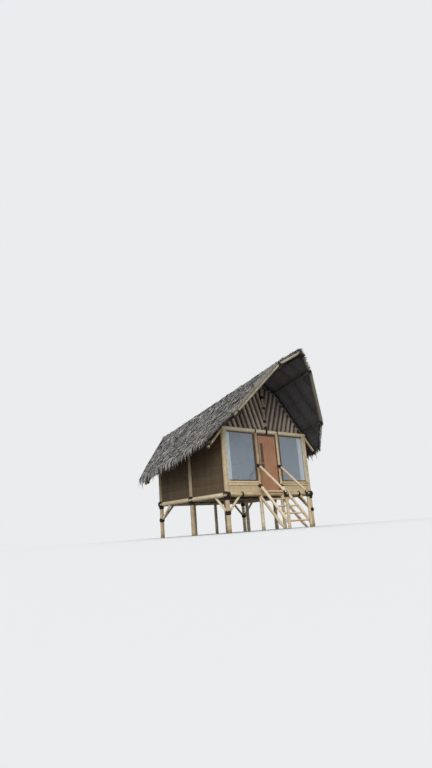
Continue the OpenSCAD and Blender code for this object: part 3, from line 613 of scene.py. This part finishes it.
def add_pole(batch, pole, rng):
    """One bamboo pole with node rings and a hollow at each end."""
    length = np.linalg.norm(pole.end - pole.start)
    axis = (pole.end - pole.start) / length
    u = unit(np.cross(axis, [0, 0, 1] if abs(axis[2]) < 0.9 else [0, 1, 0]))
    v = np.cross(axis, u)
    sides = THIN_POLE_SIDES if pole.radius < THIN_POLE_RADIUS else POLE_SIDES
    shade = rng.uniform(0, 1)
    depth = min(BORE_DEPTH, length / 4)
    # pole_bore marks the inside of each hollow end, where the material paints shade
    rings = ([(depth, BORE_CENTRE, 0.0, 1.0), (depth, BORE_SHARE, 0.0, 1.0),
              (0.0, BORE_SHARE, 0.7, 0.0)]
             + [(*r, 0.0) for r in ring_profile(length, rng)]
             + [(length, BORE_SHARE, 0.7, 0.0), (length - depth, BORE_SHARE, 0.0, 1.0),
                (length - depth, BORE_CENTRE, 0.0, 1.0)])
    along, share, near, bore = (np.array(c) for c in zip(*rings))
    angle = np.arange(sides) * 2 * math.pi / sides + rng.uniform(0, 1)
    lobe = 1 + POLE_LOBE * np.cos(2 * angle + rng.uniform(0, 6))
    taper = 1 + POLE_TAPER * (0.5 - along / length)
    r = pole.radius * share[:, None] * lobe[None, :] * taper[:, None]
    lean = rng.uniform(-1, 1, 2) * POLE_BOW * length
    sag = np.sin(along / length * math.pi)
    centre = (pole.start + along[:, None] * axis
              + (sag * lean[0])[:, None] * u + (sag * lean[1])[:, None] * v)
    circle = np.cos(angle)[:, None] * u + np.sin(angle)[:, None] * v
    points = centre[:, None, :] + r[:, :, None] * circle[None, :, :]
    points[..., 2] = points[..., 2].clip(0)
    # Each pole's own part of the pattern, in its own axes
    offset = rng.uniform(0, 40)
    local = np.stack([
        np.broadcast_to(np.cos(angle) * pole.radius, r.shape) + offset,
        np.broadcast_to(np.sin(angle) * pole.radius, r.shape) + offset,
        np.broadcast_to(along[:, None], r.shape)], -1)
    batch.add(points, grid_triangles(len(along), sides, True)[:, ::-1],
              {"pole_shade": shade, "pole_ring": np.repeat(near, sides),
               "pole_bore": np.repeat(bore, sides)},
              {"pole_place": local.reshape(-1, 3)})


def bamboo_pieces(material, slot, *nodes):
    """Replaces all poles of CAD nodes with bamboo that has nodes, taper and open ends."""
    for node in nodes:
        rng = rng_for(node)
        batch = Batch()
        for pole in poles_of(node):
            add_pole(batch, pole, rng)
        dress(batch.object(node + "_bamboo"), material, replaces=[node])


bamboo_pieces(BAMBOO, "bamboo", "front_corner_posts", "side_posts", "back_corner_posts",
              "door_posts", "door_stilts", "inner_stilts", "cross_beams", "side_beams",
              "knee_braces", "front_top_beam", "back_top_beam", "eave_struts",
              "stair_stringers", "stair_handrails", "stair_newels")
bamboo_pieces(GABLE_BAMBOO, "bamboo", "front_gable_poles", "king_posts")
bamboo_pieces(PALE_BAMBOO, "pale_bamboo", "sill_poles", "threshold_pole", "stair_treads")
bamboo_pieces(GREY_BAMBOO, "pale_bamboo", "rake_poles")
bamboo_pieces(PAINTED_SHADE_BAMBOO, "dark_bamboo", "floor_joists", "principal_rafters", "ridge_pole",
              "kink_purlins", "wall_plates", "eave_poles", "left_rafters", "right_rafters")


# Straw

def corner_points(node):
    """The different points of a CAD node's mesh."""
    return np.unique(np.round([v.co[:] for v in frame["nodes"][node].data.vertices], 5), axis=0)


class Slope:
    """A side of the roof: the thatch's skin from ridge to eave, read from the mat below it."""

    def __init__(self, side):
        mat = corner_points(side + "_mat")
        self.side = math.copysign(1, mat[:, 0].mean())
        ends = np.unique(np.round(mat[:, 1], 4))
        top = np.array([max((p for p in mat if abs(p[1] - y) < 2e-4), key=lambda p: p[2])
                        for y in ends])
        lines = len(ends) // 2
        front, back = top[:lines], top[lines:][::-1]
        self.tilt = (front[0, 2] - back[0, 2]) / (back[0, 1] - front[0, 1])
        x = np.abs(front[:, 0])
        z = front[:, 2] + self.tilt * front[:, 1]
        self.edges = {FRONT: front[:, 1] - MAT_INSET, BACK: back[:, 1] + MAT_INSET}
        # The thatch's top lies square above the mat, with mitres where the slope bends
        thatch = corner_points(side + "_thatch")
        in_middle = np.abs(thatch[:, 0]) < 0.001
        ridge = (thatch[:, 2] + self.tilt * thatch[:, 1])[in_middle].max()
        angle = np.arctan2(-np.diff(z), np.diff(x))
        turn = np.concatenate([[0], (angle[:-1] + angle[1:]) / 2, angle[-1:]])
        mitre = np.cos(turn - np.concatenate([angle[:1], angle]))
        depth = (ridge - z[0]) * math.cos(angle[0]) / mitre
        self.x = x + depth * np.sin(turn)
        self.z = z + depth * np.cos(turn)
        steps = np.hypot(np.diff(self.x), np.diff(self.z))
        self.slope_length = np.concatenate([[0], np.cumsum(steps)])
        self.eave = self.slope_length[-1]
        # Past the eave the straw droops
        self.line_x, self.line_z = list(self.x), list(self.z)
        self.line_s = list(self.slope_length)
        for reach, droop in EAVE_DROOP:
            self.line_x.append(self.line_x[-1] + reach * math.cos(math.radians(droop)))
            self.line_z.append(self.line_z[-1] - reach * math.sin(math.radians(droop)))
            self.line_s.append(self.line_s[-1] + reach)
        self.ridge_way = unit(np.array([0, 1, -self.tilt]))

    def edge_at(self, s, edge):
        """Y of the front or back edge at a distance down the slope."""
        return np.interp(np.interp(s, self.line_s, self.line_x), self.x, self.edges[edge])

    def allowance(self, s):
        """How far straw may hang over a raked edge: little up by the gable, more by the eave."""
        return np.interp(s, [0, self.slope_length[2] + 0.1, self.eave, self.eave + 0.4],
                         [0.015, 0.02, 0.06, 0.09])

    def point(self, s, y, lift):
        """A point of the skin at a distance down the slope, lifted square to it."""
        last = len(self.line_s) - 2
        k = np.clip(np.searchsorted(self.line_s, s, side="right") - 1, 0, last)
        x, z, line = np.array(self.line_x), np.array(self.line_z), np.array(self.line_s)
        part = (s - line[k]) / (line[k + 1] - line[k])
        dx, dz = x[k + 1] - x[k], z[k + 1] - z[k]
        size = np.hypot(dx, dz)
        px = x[k] + part * dx - lift * dz / size
        pz = z[k] + part * dz + lift * dx / size - self.tilt * y
        return np.stack([self.side * px, y, pz], -1)


SLOPES = {side: Slope(side) for side in ("left", "right")}


def blades(batch, line, half, shade, flip=False):
    """Flat blades along lines of three points, each two triangles and a pointed end."""
    count = len(line)
    waist = BLADE_WAIST_WIDTH * half
    points = np.stack([line[:, 0] - half, line[:, 0] + half, line[:, 1] - waist,
                       line[:, 1] + waist, line[:, 2]], 1)
    pattern = np.array([[0, 1, 3], [0, 3, 2], [2, 3, 4]])
    if flip:
        pattern = pattern[:, ::-1]
    triangles = (np.arange(count) * 5)[:, None, None] + pattern
    along = np.tile([0, 0, BLADE_WAIST, BLADE_WAIST, 1.0], count)
    batch.add(points, triangles.reshape(-1, 3),
              {"stalk_shade": np.repeat(shade, 5), "stalk_along": along})


def stalks(batch, slope, s, y, length, width, lift_root, lift_tip, drift, shade, rng, allow):
    """Stalks that lie down the slope from their roots."""
    share = np.array([0.0, BLADE_WAIST, 1.0])
    along = s[:, None] + length[:, None] * share
    lift = lift_root[:, None] + (lift_tip - lift_root)[:, None] * share ** 1.5
    side = y[:, None] + (drift - STRAW_LEAN * length)[:, None] * share
    # What would pass a raked edge stops just over it and hangs down
    edge_front, edge_back = slope.edge_at(along, FRONT), slope.edge_at(along, BACK)
    over = np.maximum(edge_front - side, side - edge_back).clip(0)
    side = np.clip(side, edge_front - allow(along), edge_back + allow(along))
    line = slope.point(along, side, lift)
    line[..., 2] -= 0.5 * np.minimum(over, allow(along))
    twist = rng.uniform(-0.8, 0.8, len(s))
    way = slope.ridge_way * np.cos(twist)[:, None]
    way[:, 2] += np.sin(twist)
    blades(batch, line, (width / 2)[:, None] * way, shade, slope.side < 0)


def straw_slope(side):
    """Courses of straw tufts from the eave up to the ridge."""
    slope = SLOPES[side]
    rng = rng_for(side + "_straw")
    batch = Batch()
    n = TUFT_STALKS
    for course in range(int(slope.eave / COURSE_PITCH) + 1):
        s0 = slope.eave - FIRST_COURSE - course * COURSE_PITCH
        if s0 < LAST_COURSE:
            break
        front, back = slope.edge_at(s0, FRONT), slope.edge_at(s0, BACK)
        tufts = int((back - front) / TUFT_PITCH)
        count = tufts * n
        y0 = front + (np.arange(tufts) + rng.uniform(0.0, 1.0, tufts)) * TUFT_PITCH
        tuft_shade = rng.normal(0.5, 0.36, tufts)
        tuft_lift = rng.uniform(-0.012, 0.020, tufts) + 0.026 * (rng.uniform(0, 1, tufts) > 0.84)
        tuft_s = s0 + rng.normal(0, 0.045, tufts)
        tuft_drift = rng.normal(0, 0.035, tufts)
        spread = rng.normal(0, 0.019, count)
        s = np.repeat(tuft_s, n) + rng.normal(0, 0.03, count)
        length = rng.uniform(0.22, 0.36, count)
        width = STALK_WIDTH * rng.uniform(*WIDTH_SPREAD, count)
        lift_root = rng.uniform(-0.024, -0.010, count)
        lift_tip = np.repeat(tuft_lift, n) + rng.uniform(-0.008, 0.008, count)
        drift = np.repeat(tuft_drift, n) + 1.3 * spread + rng.normal(0, 0.015, count)
        shade = np.clip(np.repeat(tuft_shade, n) + rng.normal(0, 0.20, count), 0, 1)
        stalks(batch, slope, s, np.repeat(y0, n) + spread, length, width, lift_root, lift_tip,
               drift, shade, rng, slope.allowance)
    dress(batch.object(side + "_straw", smooth=False), STRAW)


def eave_fringe(side):
    """Pointed locks that hang from the eave, longer to the back, over a shorter layer painted dark
    as shade.
    """
    slope = SLOPES[side]
    rng = rng_for(side + "_fringe")
    batch = Batch()
    front, back = slope.edge_at(slope.eave, FRONT), slope.edge_at(slope.eave, BACK)
    n = LOCK_STALKS
    for middle_shade, spread_shade, depth, pitch, most in FRINGE_LAYERS:
        locks = int((back - front + 0.1) / pitch)
        count = locks * n
        y0 = front - 0.05 + (np.arange(locks) + rng.uniform(0, 1, locks)) * pitch
        reach = (FRINGE_REACH + np.interp(y0, [front, back], [0.0, FRINGE_BACK_REACH])
                 + most * rng.uniform(0, 1, locks) ** 1.3)
        spread = rng.uniform(-LOCK_HALF_WIDTH, LOCK_HALF_WIDTH, count)
        s = slope.eave - FRINGE_ROOT + rng.uniform(-0.05, 0.05, count)
        length = FRINGE_ROOT + (np.repeat(reach, n) * (1 - 7 * np.abs(spread))
                                * rng.uniform(0.75, 1.0, count))
        width = LOCK_STALK_WIDTH * rng.uniform(*WIDTH_SPREAD, count)
        lift_root = -depth + rng.uniform(-0.015, 0.0, count)
        lift_tip = -depth * 0.6 + np.repeat(rng.uniform(-0.03, 0.02, locks), n)
        drift = (-0.85 * spread + np.repeat(rng.normal(0, 0.025, locks), n)
                 + rng.normal(0, 0.006, count))
        shade = (np.repeat(rng.normal(middle_shade, spread_shade, locks), n)
                 + rng.normal(0, 0.12, count))
        stalks(batch, slope, s, np.repeat(y0, n) + spread, length, width, lift_root, lift_tip,
               drift, np.clip(shade, 0, 1), rng, slope.allowance)
    dress(batch.object(side + "_fringe", smooth=False), STRAW)


def ridge_straw():
    """Folded tufts over the ridge, down both slopes."""
    batch = Batch()
    for side, slope in SLOPES.items():
        rng = rng_for("ridge_straw" + side)
        y = np.arange(slope.edges[FRONT][0] - 0.01, slope.edges[BACK][0] + 0.01,
                      RIDGE_STALK_PITCH)
        count = len(y)
        wave = 0.05 * np.sin(y * 23) + 0.04 * np.sin(y * 61 + 1)
        for reach, lift in RIDGE_LAYERS:
            place = y + rng.normal(0, 0.01, count)
            length = reach * rng.uniform(0.75, 1.15, count) + wave * 0.6
            width = STALK_WIDTH * rng.uniform(*WIDTH_SPREAD, count)
            lift_tip = rng.uniform(0.02, 0.05, count)
            drift = rng.normal(0, 0.03, count)
            shade = np.clip(rng.normal(0.40, 0.20, count) + wave, 0, 1)
            stalks(batch, slope, np.zeros(count), place, length, width, np.full(count, lift),
                   lift_tip, drift, shade, rng, lambda s: np.full(s.shape, RIDGE_OVERHANG))
    dress(batch.object("ridge_straw", smooth=False), STRAW)


def spilled_stalks(batch, slope, edge, rng):
    """Stalks over a raked edge, and over the upper of two rake poles in front of the kink."""
    count = int(slope.eave / RAKE_STALK_PITCH)
    s = rng.uniform(0, slope.eave - 0.05, count)
    paired = (s > slope.slope_length[1]) & (edge == FRONT)
    run = rng.uniform(0.02, 0.12, (2, count))

    def draw(over_pair, over_one):
        return np.where(paired, rng.uniform(*over_pair, count), rng.uniform(*over_one, count))

    root = draw((-0.02, 0.04), (-0.08, 0.0))
    tip = draw((0.10, 0.135), (0.06, 0.12))
    drop = draw((-0.10, -0.02), (-0.13, -0.02))
    line = np.stack([
        slope.point(way, slope.edge_at(way, edge) + edge * reach, lift) for way, reach, lift in (
            (s, root, np.where(paired, 0.034, 0.0)),
            (s + run[0], np.where(paired, 0.092, 0.03), np.where(paired, 0.026, 0.004)),
            (s + run.sum(0), tip, drop))], 1)
    facing = rng.normal(0, 0.6, (count, 3)) + [0, -edge, 0]
    across = np.cross(line[:, 2] - line[:, 1], facing)
    across = RAKE_STALK_HALF * across / np.linalg.norm(across, axis=1, keepdims=True)
    blades(batch, line, across, np.clip(rng.normal(0.46, 0.30, count), 0, 1))


def loose_spikes(batch, slope, edge, rng):
    """Spikes that stand out from a raked edge between the ridge and the kink."""
    kink = slope.slope_length[1]
    tufts = int(kink / SPIKE_PITCH)
    n = SPIKE_STALKS
    count = tufts * n
    s = np.repeat(rng.uniform(0, kink, tufts), n) + rng.normal(0, 0.015, count)
    s = s.clip(0, kink)
    y = slope.edge_at(s, edge)
    length = np.repeat(rng.uniform(0.06, 0.19, tufts), n) * rng.uniform(0.7, 1.1, count)
    rise = np.repeat(rng.uniform(0.0, 0.075, tufts), n) + rng.uniform(-0.01, 0.01, count)
    down = np.repeat(rng.uniform(-0.5, 0.5, tufts), n) + rng.normal(0, 0.1, count)
    root = slope.point(s, y - edge * 0.05, np.full(count, -0.01))
    tip = slope.point((s + down * length).clip(0), y + edge * length * 0.7, rise)
    middle = 0.5 * (root + tip)
    middle[:, 2] += 0.012
    half = (SPIKE_HALF * slope.ridge_way * [0, 0.3, 0]
            + SPIKE_HALF * np.array([0.6 * slope.side, 0, -0.6]))
    blades(batch, np.stack([root, middle, tip], 1), np.broadcast_to(half, (count, 3)),
           np.clip(rng.normal(0.35, 0.26, count), 0, 1))


def rake_straw():
    """Straw on the raked edges and their poles."""
    batch = Batch()
    for side, slope in SLOPES.items():
        rng = rng_for("rake_straw" + side)
        for edge in (FRONT, BACK):
            spilled_stalks(batch, slope, edge, rng)
            loose_spikes(batch, slope, edge, rng)
    dress(batch.object("rake_straw", smooth=False), STRAW)


for side in ("left", "right"):
    straw_slope(side)
    eave_fringe(side)
ridge_straw()
rake_straw()


# Lashings of palm rope

def add_coil(batch, centre, u, v, w, ru, rv, turns, width, rope, sides=5, steps=14):
    """Rope wound round an ellipse with half axes ru along u and rv along v, moving along w."""
    count = int(turns * steps) + 1
    t = np.linspace(0, turns * 2 * math.pi, count)
    drift = width * (t / t[-1] - 0.5)
    out = np.cos(t)[:, None] * u * ru + np.sin(t)[:, None] * v * rv
    line = centre + out + drift[:, None] * w
    normal = out / np.linalg.norm(out, axis=1)[:, None]
    angle = np.arange(sides) * 2 * math.pi / sides
    ring = np.cos(angle)[None, :, None] * normal[:, None, :] + np.sin(angle)[None, :, None] * w
    batch.add(line[:, None, :] + rope * ring, grid_triangles(count, sides, True))


def cross_lash(batch, a, b, centre, turns, rope):
    """Rope that binds two crossing poles, with diagonal turns both ways."""
    depth = unit(np.cross(a.axis, b.axis))
    thin, wide = sorted((a.radius, b.radius))
    for sign in (1, -1):
        across = unit(a.axis + sign * b.axis)
        cosine = abs(a.axis @ across)
        reach = (wide + rope) / max(0.5, math.sqrt(1 - cosine ** 2))
        add_coil(batch, centre, depth, across, np.cross(depth, across), wide + thin * 0.6 + rope,
                 reach, turns, turns * rope * 1.8, rope)


def bind(batch, pole, centre, width, rope=THICK_ROPE):
    """A thick binding of two layers of rope round one pole."""
    for layer in range(2):
        span = width * (1 - 0.4 * layer)
        radius = pole.radius + rope * (0.7 + 1.5 * layer)
        add_coil(batch, centre, pole.u, pole.v, pole.axis, radius, radius, span / (rope * 1.8),
                 span, rope)


def crossing(a, b):
    """The point of pole a's axis that lies nearest to pole b's axis."""
    gap = b.start - a.start
    dot = a.axis @ b.axis
    return a.at((gap @ a.axis - dot * (gap @ b.axis)) / (1 - dot * dot))


def apart(a, b):
    """The distance between the axes of two poles."""
    return np.linalg.norm(crossing(a, b) - crossing(b, a))


poles = {node: poles_of(node) for node in (
    "front_corner_posts", "back_corner_posts", "side_posts", "door_posts", "stair_newels",
    "stair_handrails", "stair_stringers", "king_posts", "kink_purlins", "wall_plates",
    "rake_poles", "ridge_pole", "principal_rafters", "front_gable_poles", "eave_struts",
    "eave_poles", "cross_beams", "front_top_beam")}


def lash_floor(batch):
    """Posts at the floor beams and the feet of the knee braces."""
    corners = poles["front_corner_posts"] + poles["back_corner_posts"]
    front_beam = min(poles["cross_beams"], key=lambda p: p.start[1])
    floor_z = front_beam.start[2]
    for post in corners + poles["side_posts"]:
        beam = min(poles["cross_beams"], key=lambda p: abs(p.start[1] - post.start[1]))
        cross_lash(batch, post, beam, post.at_z(floor_z), 5, THICK_ROPE)
        bind(batch, post, post.at_z(floor_z - BELOW_BEAM), 0.07)
    for post in corners:
        bind(batch, post, post.at_z(floor_z - BRACE_FOOT), 0.13)
    for x in FRONT_BEAM_BINDINGS:
        bind(batch, front_beam, front_beam.at_x(x), 0.07)
    return floor_z


def lash_front(batch, floor_z):
    """The top beam, the stair and its rails at the door, the king posts and the gable poles."""
    top_beam = poles["front_top_beam"][0]
    for x in TOP_BEAM_BINDINGS:
        bind(batch, top_beam, top_beam.at_x(x), 0.05, THIN_ROPE)
    bind(batch, top_beam, top_beam.at_x(0), 0.09)
    for newel in poles["stair_newels"]:
        rail = min(poles["stair_handrails"], key=lambda p: abs(p.start[0] - newel.start[0]))
        cross_lash(batch, newel, rail, newel.end - 0.03 * newel.axis, 4, MIDDLE_ROPE)
        bind(batch, newel, newel.end - 0.11 * newel.axis, 0.07)
    for post in poles["door_posts"]:
        for rail in poles["stair_handrails"] + poles["stair_stringers"]:
            low, high = sorted((rail.start, rail.end), key=lambda p: p[2])
            if abs(rail.start[0] - post.start[0]) < 0.05 and high[2] > floor_z + 0.1:
                bind(batch, post, post.at_z(high[2] - 0.02), 0.10)
                bind(batch, rail, high - 0.07 * unit(high - low), 0.06, MIDDLE_ROPE)
    for post in poles["king_posts"]:
        for rise in KING_POST_BINDINGS:
            bind(batch, post, post.at(min(rise, post.length - 0.05)), 0.10)
    front_rafters = [p for p in poles["principal_rafters"] if p.start[1] < 0]
    for pole in poles["front_gable_poles"]:
        rafter = min(front_rafters, key=lambda r: np.linalg.norm(crossing(r, pole) - pole.end))
        bind(batch, rafter, crossing(rafter, pole), 0.06, MIDDLE_ROPE)


def lash_roof(batch):
    """Rake poles on purlins and plates, and struts at the eave poles."""
    for rake in poles["rake_poles"]:
        for line in poles["kink_purlins"] + poles["wall_plates"]:
            place = crossing(line, rake)
            if apart(line, rake) < 0.12 and abs(place[1] - rake.start[1]) < 1.5:
                bind(batch, line, place + 0.07 * line.axis * np.sign(place[1]), 0.05,
                     MIDDLE_ROPE)
                bind(batch, rake, crossing(rake, line), 0.05, MIDDLE_ROPE)
    for strut in poles["eave_struts"]:
        pole = min(poles["eave_poles"], key=lambda p: apart(p, strut))
        cross_lash(batch, strut, pole, crossing(strut, pole), 4, MIDDLE_ROPE)


def ridge_knots():
    """Black palm fibre wound round both ends of the ridge pole, with loose tufts on top."""
    ridge = poles["ridge_pole"][0]
    wound, loose = Batch(), Batch()
    rng = rng_for("ridge_knots")
    for tip, inward in ((ridge.start, 1), (ridge.end, -1)):
        for radius, span, back in RIDGE_COILS:
            add_coil(wound, tip + inward * ridge.axis * back, ridge.u, ridge.v, ridge.axis,
                     radius, radius, span / (1.5 * RIDGE_ROPE), span, RIDGE_ROPE, 6, 16)
        count = RIDGE_FIBRES
        angle = rng.uniform(-0.9, math.pi + 0.9, count)
        out = np.stack([np.cos(angle), np.zeros(count), np.sin(angle)], 1)
        along = inward * ridge.axis * rng.uniform(0.04, 0.24, count)[:, None]
        root = tip + along + 0.09 * out
        length = rng.uniform(0.04, 0.13, count)[:, None]
        spray = np.array([0, -inward, 0.0]) * rng.uniform(-0.2, 0.7, count)[:, None]
        ends = root + length * (0.7 * out + spray + rng.normal(0, 0.25, (count, 3)))
        middle = 0.5 * (root + ends) + 0.01 * out
        blades(loose, np.stack([root, middle, ends], 1), 0.004 * np.cross(out, [0, 1, 0]),
               rng.uniform(0, 0.3, count))
    dress(wound.object("ridge_binding"), ROPE)
    dress(loose.object("ridge_fibre", smooth=False), ROPE)


lashings = Batch()
lash_front(lashings, lash_floor(lashings))
lash_roof(lashings)
dress(lashings.object("lashings"), ROPE)
ridge_knots()


# Curtains

def curtain(name, low, high):
    """A gathered sheet hung behind the window, its folds deeper at the foot."""
    rows, columns = CURTAIN_ROWS, CURTAIN_COLUMNS
    x = np.linspace(low[0], high[0], columns)
    z = np.linspace(high[2] - 0.01, low[2] + 0.01, rows)
    middle = (low[1] + high[1]) / 2
    depth = (high[1] - low[1]) / 2 - 0.006
    phase = (x - x[0]) / (x[-1] - x[0]) * CURTAIN_FOLDS * 2 * math.pi
    fall = np.linspace(0, 1, rows)[:, None]
    wave = np.sin(phase[None, :] + 0.5 * np.sin(fall * 3 + x[None, :] * 9))
    points = np.stack([np.broadcast_to(x, (rows, columns)),
                       middle + wave * depth * (0.55 + 0.40 * fall),
                       np.broadcast_to(z[:, None], (rows, columns))], -1)
    piece = mesh_object(name, points.reshape(-1, 3), grid_triangles(rows, columns, False))
    dress(piece, CLOTH)
    return piece


left, right = [c.reshape(-1, 3) for c in sorted(solids("curtains"), key=lambda c: c[..., 0].mean())]
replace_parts(curtain("left_curtain", left.min(0), left.max(0)), "curtains")
curtain("right_curtain", right.min(0), right.max(0))


# Nodes that keep their CAD shape

def paint(material, *nodes, bevel=0.0):
    """Gives CAD nodes a material and, where they are sawn, soft edges."""
    for name in nodes:
        node = frame["nodes"][name]
        node.data.materials.clear()
        node.data.materials.append(material)
        if bevel:
            edge = node.modifiers.new("edges", "BEVEL")
            edge.width = bevel
            edge.segments = 2
            edge.limit_method = "ANGLE"


paint(THATCH_BODY, "left_thatch", "right_thatch", "ridge_cap")
paint(CEILING_WEAVE, "left_mat", "right_mat", "front_gable_mat")
paint(SIDE_WEAVE, "left_wall", "right_wall", "back_wall", "back_gable")
paint(FRONT_WEAVE, "front_panels")
paint(DECK_WEAVE, "floor_deck")
paint(STILE, "window_stiles", bevel=0.003)
paint(FRAME_WOOD, "window_rails", bevel=0.003)
paint(DARK_WOOD, "door_jambs", "door_head", bevel=0.003)
paint(GLASS, "window_glass")
paint(DOOR_GLASS, "door_pane")
paint(PLYWOOD, "door_leaf", bevel=0.002)
paint(STEEL, "door_levers", "door_hinge_leaves", "door_hinge_pins", bevel=0.0015)


# Stage, light and camera

def floor():
    """A pale disc under the house, which bounces less light than it shows."""
    sides = FLOOR_SIDES
    angle = np.linspace(0, 2 * math.pi, sides + 1)[:-1]
    rim = np.stack([np.cos(angle), np.sin(angle), np.zeros(sides)], 1) * FLOOR_RADIUS
    triangles = [[0, k + 1, (k + 1) % sides + 1] for k in range(sides)]
    disc = mesh_object("studio_floor", np.concatenate([[[0, 0, 0]], rim]), triangles,
                       smooth=False)
    disc.location.z = -0.001
    g = Graph("studio_floor")
    seen = g.add("LightPath").outputs["Is Camera Ray"]
    colour = g.mix(seen, srgb(120, 118, 112), srgb(221, 223, 224))
    disc.data.materials.append(g.finish(colour, 0.95))


def world():
    """An overcast studio sky, brighter overhead, pale where camera, mirror or glass sees it."""
    made = bpy.data.worlds.new("studio")
    bpy.context.scene.world = made
    g = Graph(made, "Background")
    height = g.add("SeparateXYZ", {0: g.add("TexCoord").outputs["Generated"]}).outputs["Z"]
    sky = g.ramp(height, [(0.0, srgb(196, 198, 202)), (0.8, srgb(250, 252, 255))])
    g.set(g.shader.inputs["Color"], sky)
    g.set(g.shader.inputs["Strength"], 1.0)
    shown = g.add("Background", {"Color": srgb(234, 236, 238)}).outputs[0]
    ray = g.add("LightPath").outputs
    seen = g.math("MAXIMUM", ray["Is Camera Ray"], ray["Is Glossy Ray"])
    seen = g.math("MAXIMUM", seen, ray["Is Transmission Ray"])
    mixed = g.add("MixShader", {0: seen, 1: g.shader.outputs[0], 2: shown}).outputs[0]
    g.set(g.tree.nodes["World Output"].inputs["Surface"], mixed)


def lamp(name, direction, strength, angle, colour):
    """A wide soft sun that shines along a direction."""
    light = bpy.data.lights.new(name, "SUN")
    light.energy = strength
    light.angle = math.radians(angle)
    light.color = colour[:3]
    made = bpy.data.objects.new(name, light)
    made.rotation_euler = Vector(direction).to_track_quat("-Z", "Y").to_euler()
    bpy.context.scene.collection.objects.link(made)


def camera():
    """The photograph's own direction of view, with its slight roll."""
    yaw, pitch, roll = (math.radians(a) for a in (CAMERA_YAW, CAMERA_PITCH, CAMERA_ROLL))
    forward = Vector((math.sin(yaw) * math.cos(pitch), math.cos(yaw) * math.cos(pitch),
                      math.sin(pitch)))
    level = Vector((math.cos(yaw), -math.sin(yaw), 0))
    down = forward.cross(level)
    right = math.cos(roll) * level - math.sin(roll) * down
    lower = math.sin(roll) * level + math.cos(roll) * down
    data = bpy.data.cameras.new("camera")
    data.lens = CAMERA_LENS
    data.sensor_width = 36
    made = bpy.data.objects.new("camera", data)
    made.matrix_world = Matrix((
        (right.x, -lower.x, -forward.x, CAMERA_PLACE[0]),
        (right.y, -lower.y, -forward.y, CAMERA_PLACE[1]),
        (right.z, -lower.z, -forward.z, CAMERA_PLACE[2]), (0, 0, 0, 1)))
    bpy.context.scene.collection.objects.link(made)
    bpy.context.scene.camera = made


floor()
world()
lamp("key", (0.55, 0.62, -0.72), 1.3, 40, srgb(255, 248, 238))
camera()
bpy.context.scene.view_settings.view_transform = "Standard"
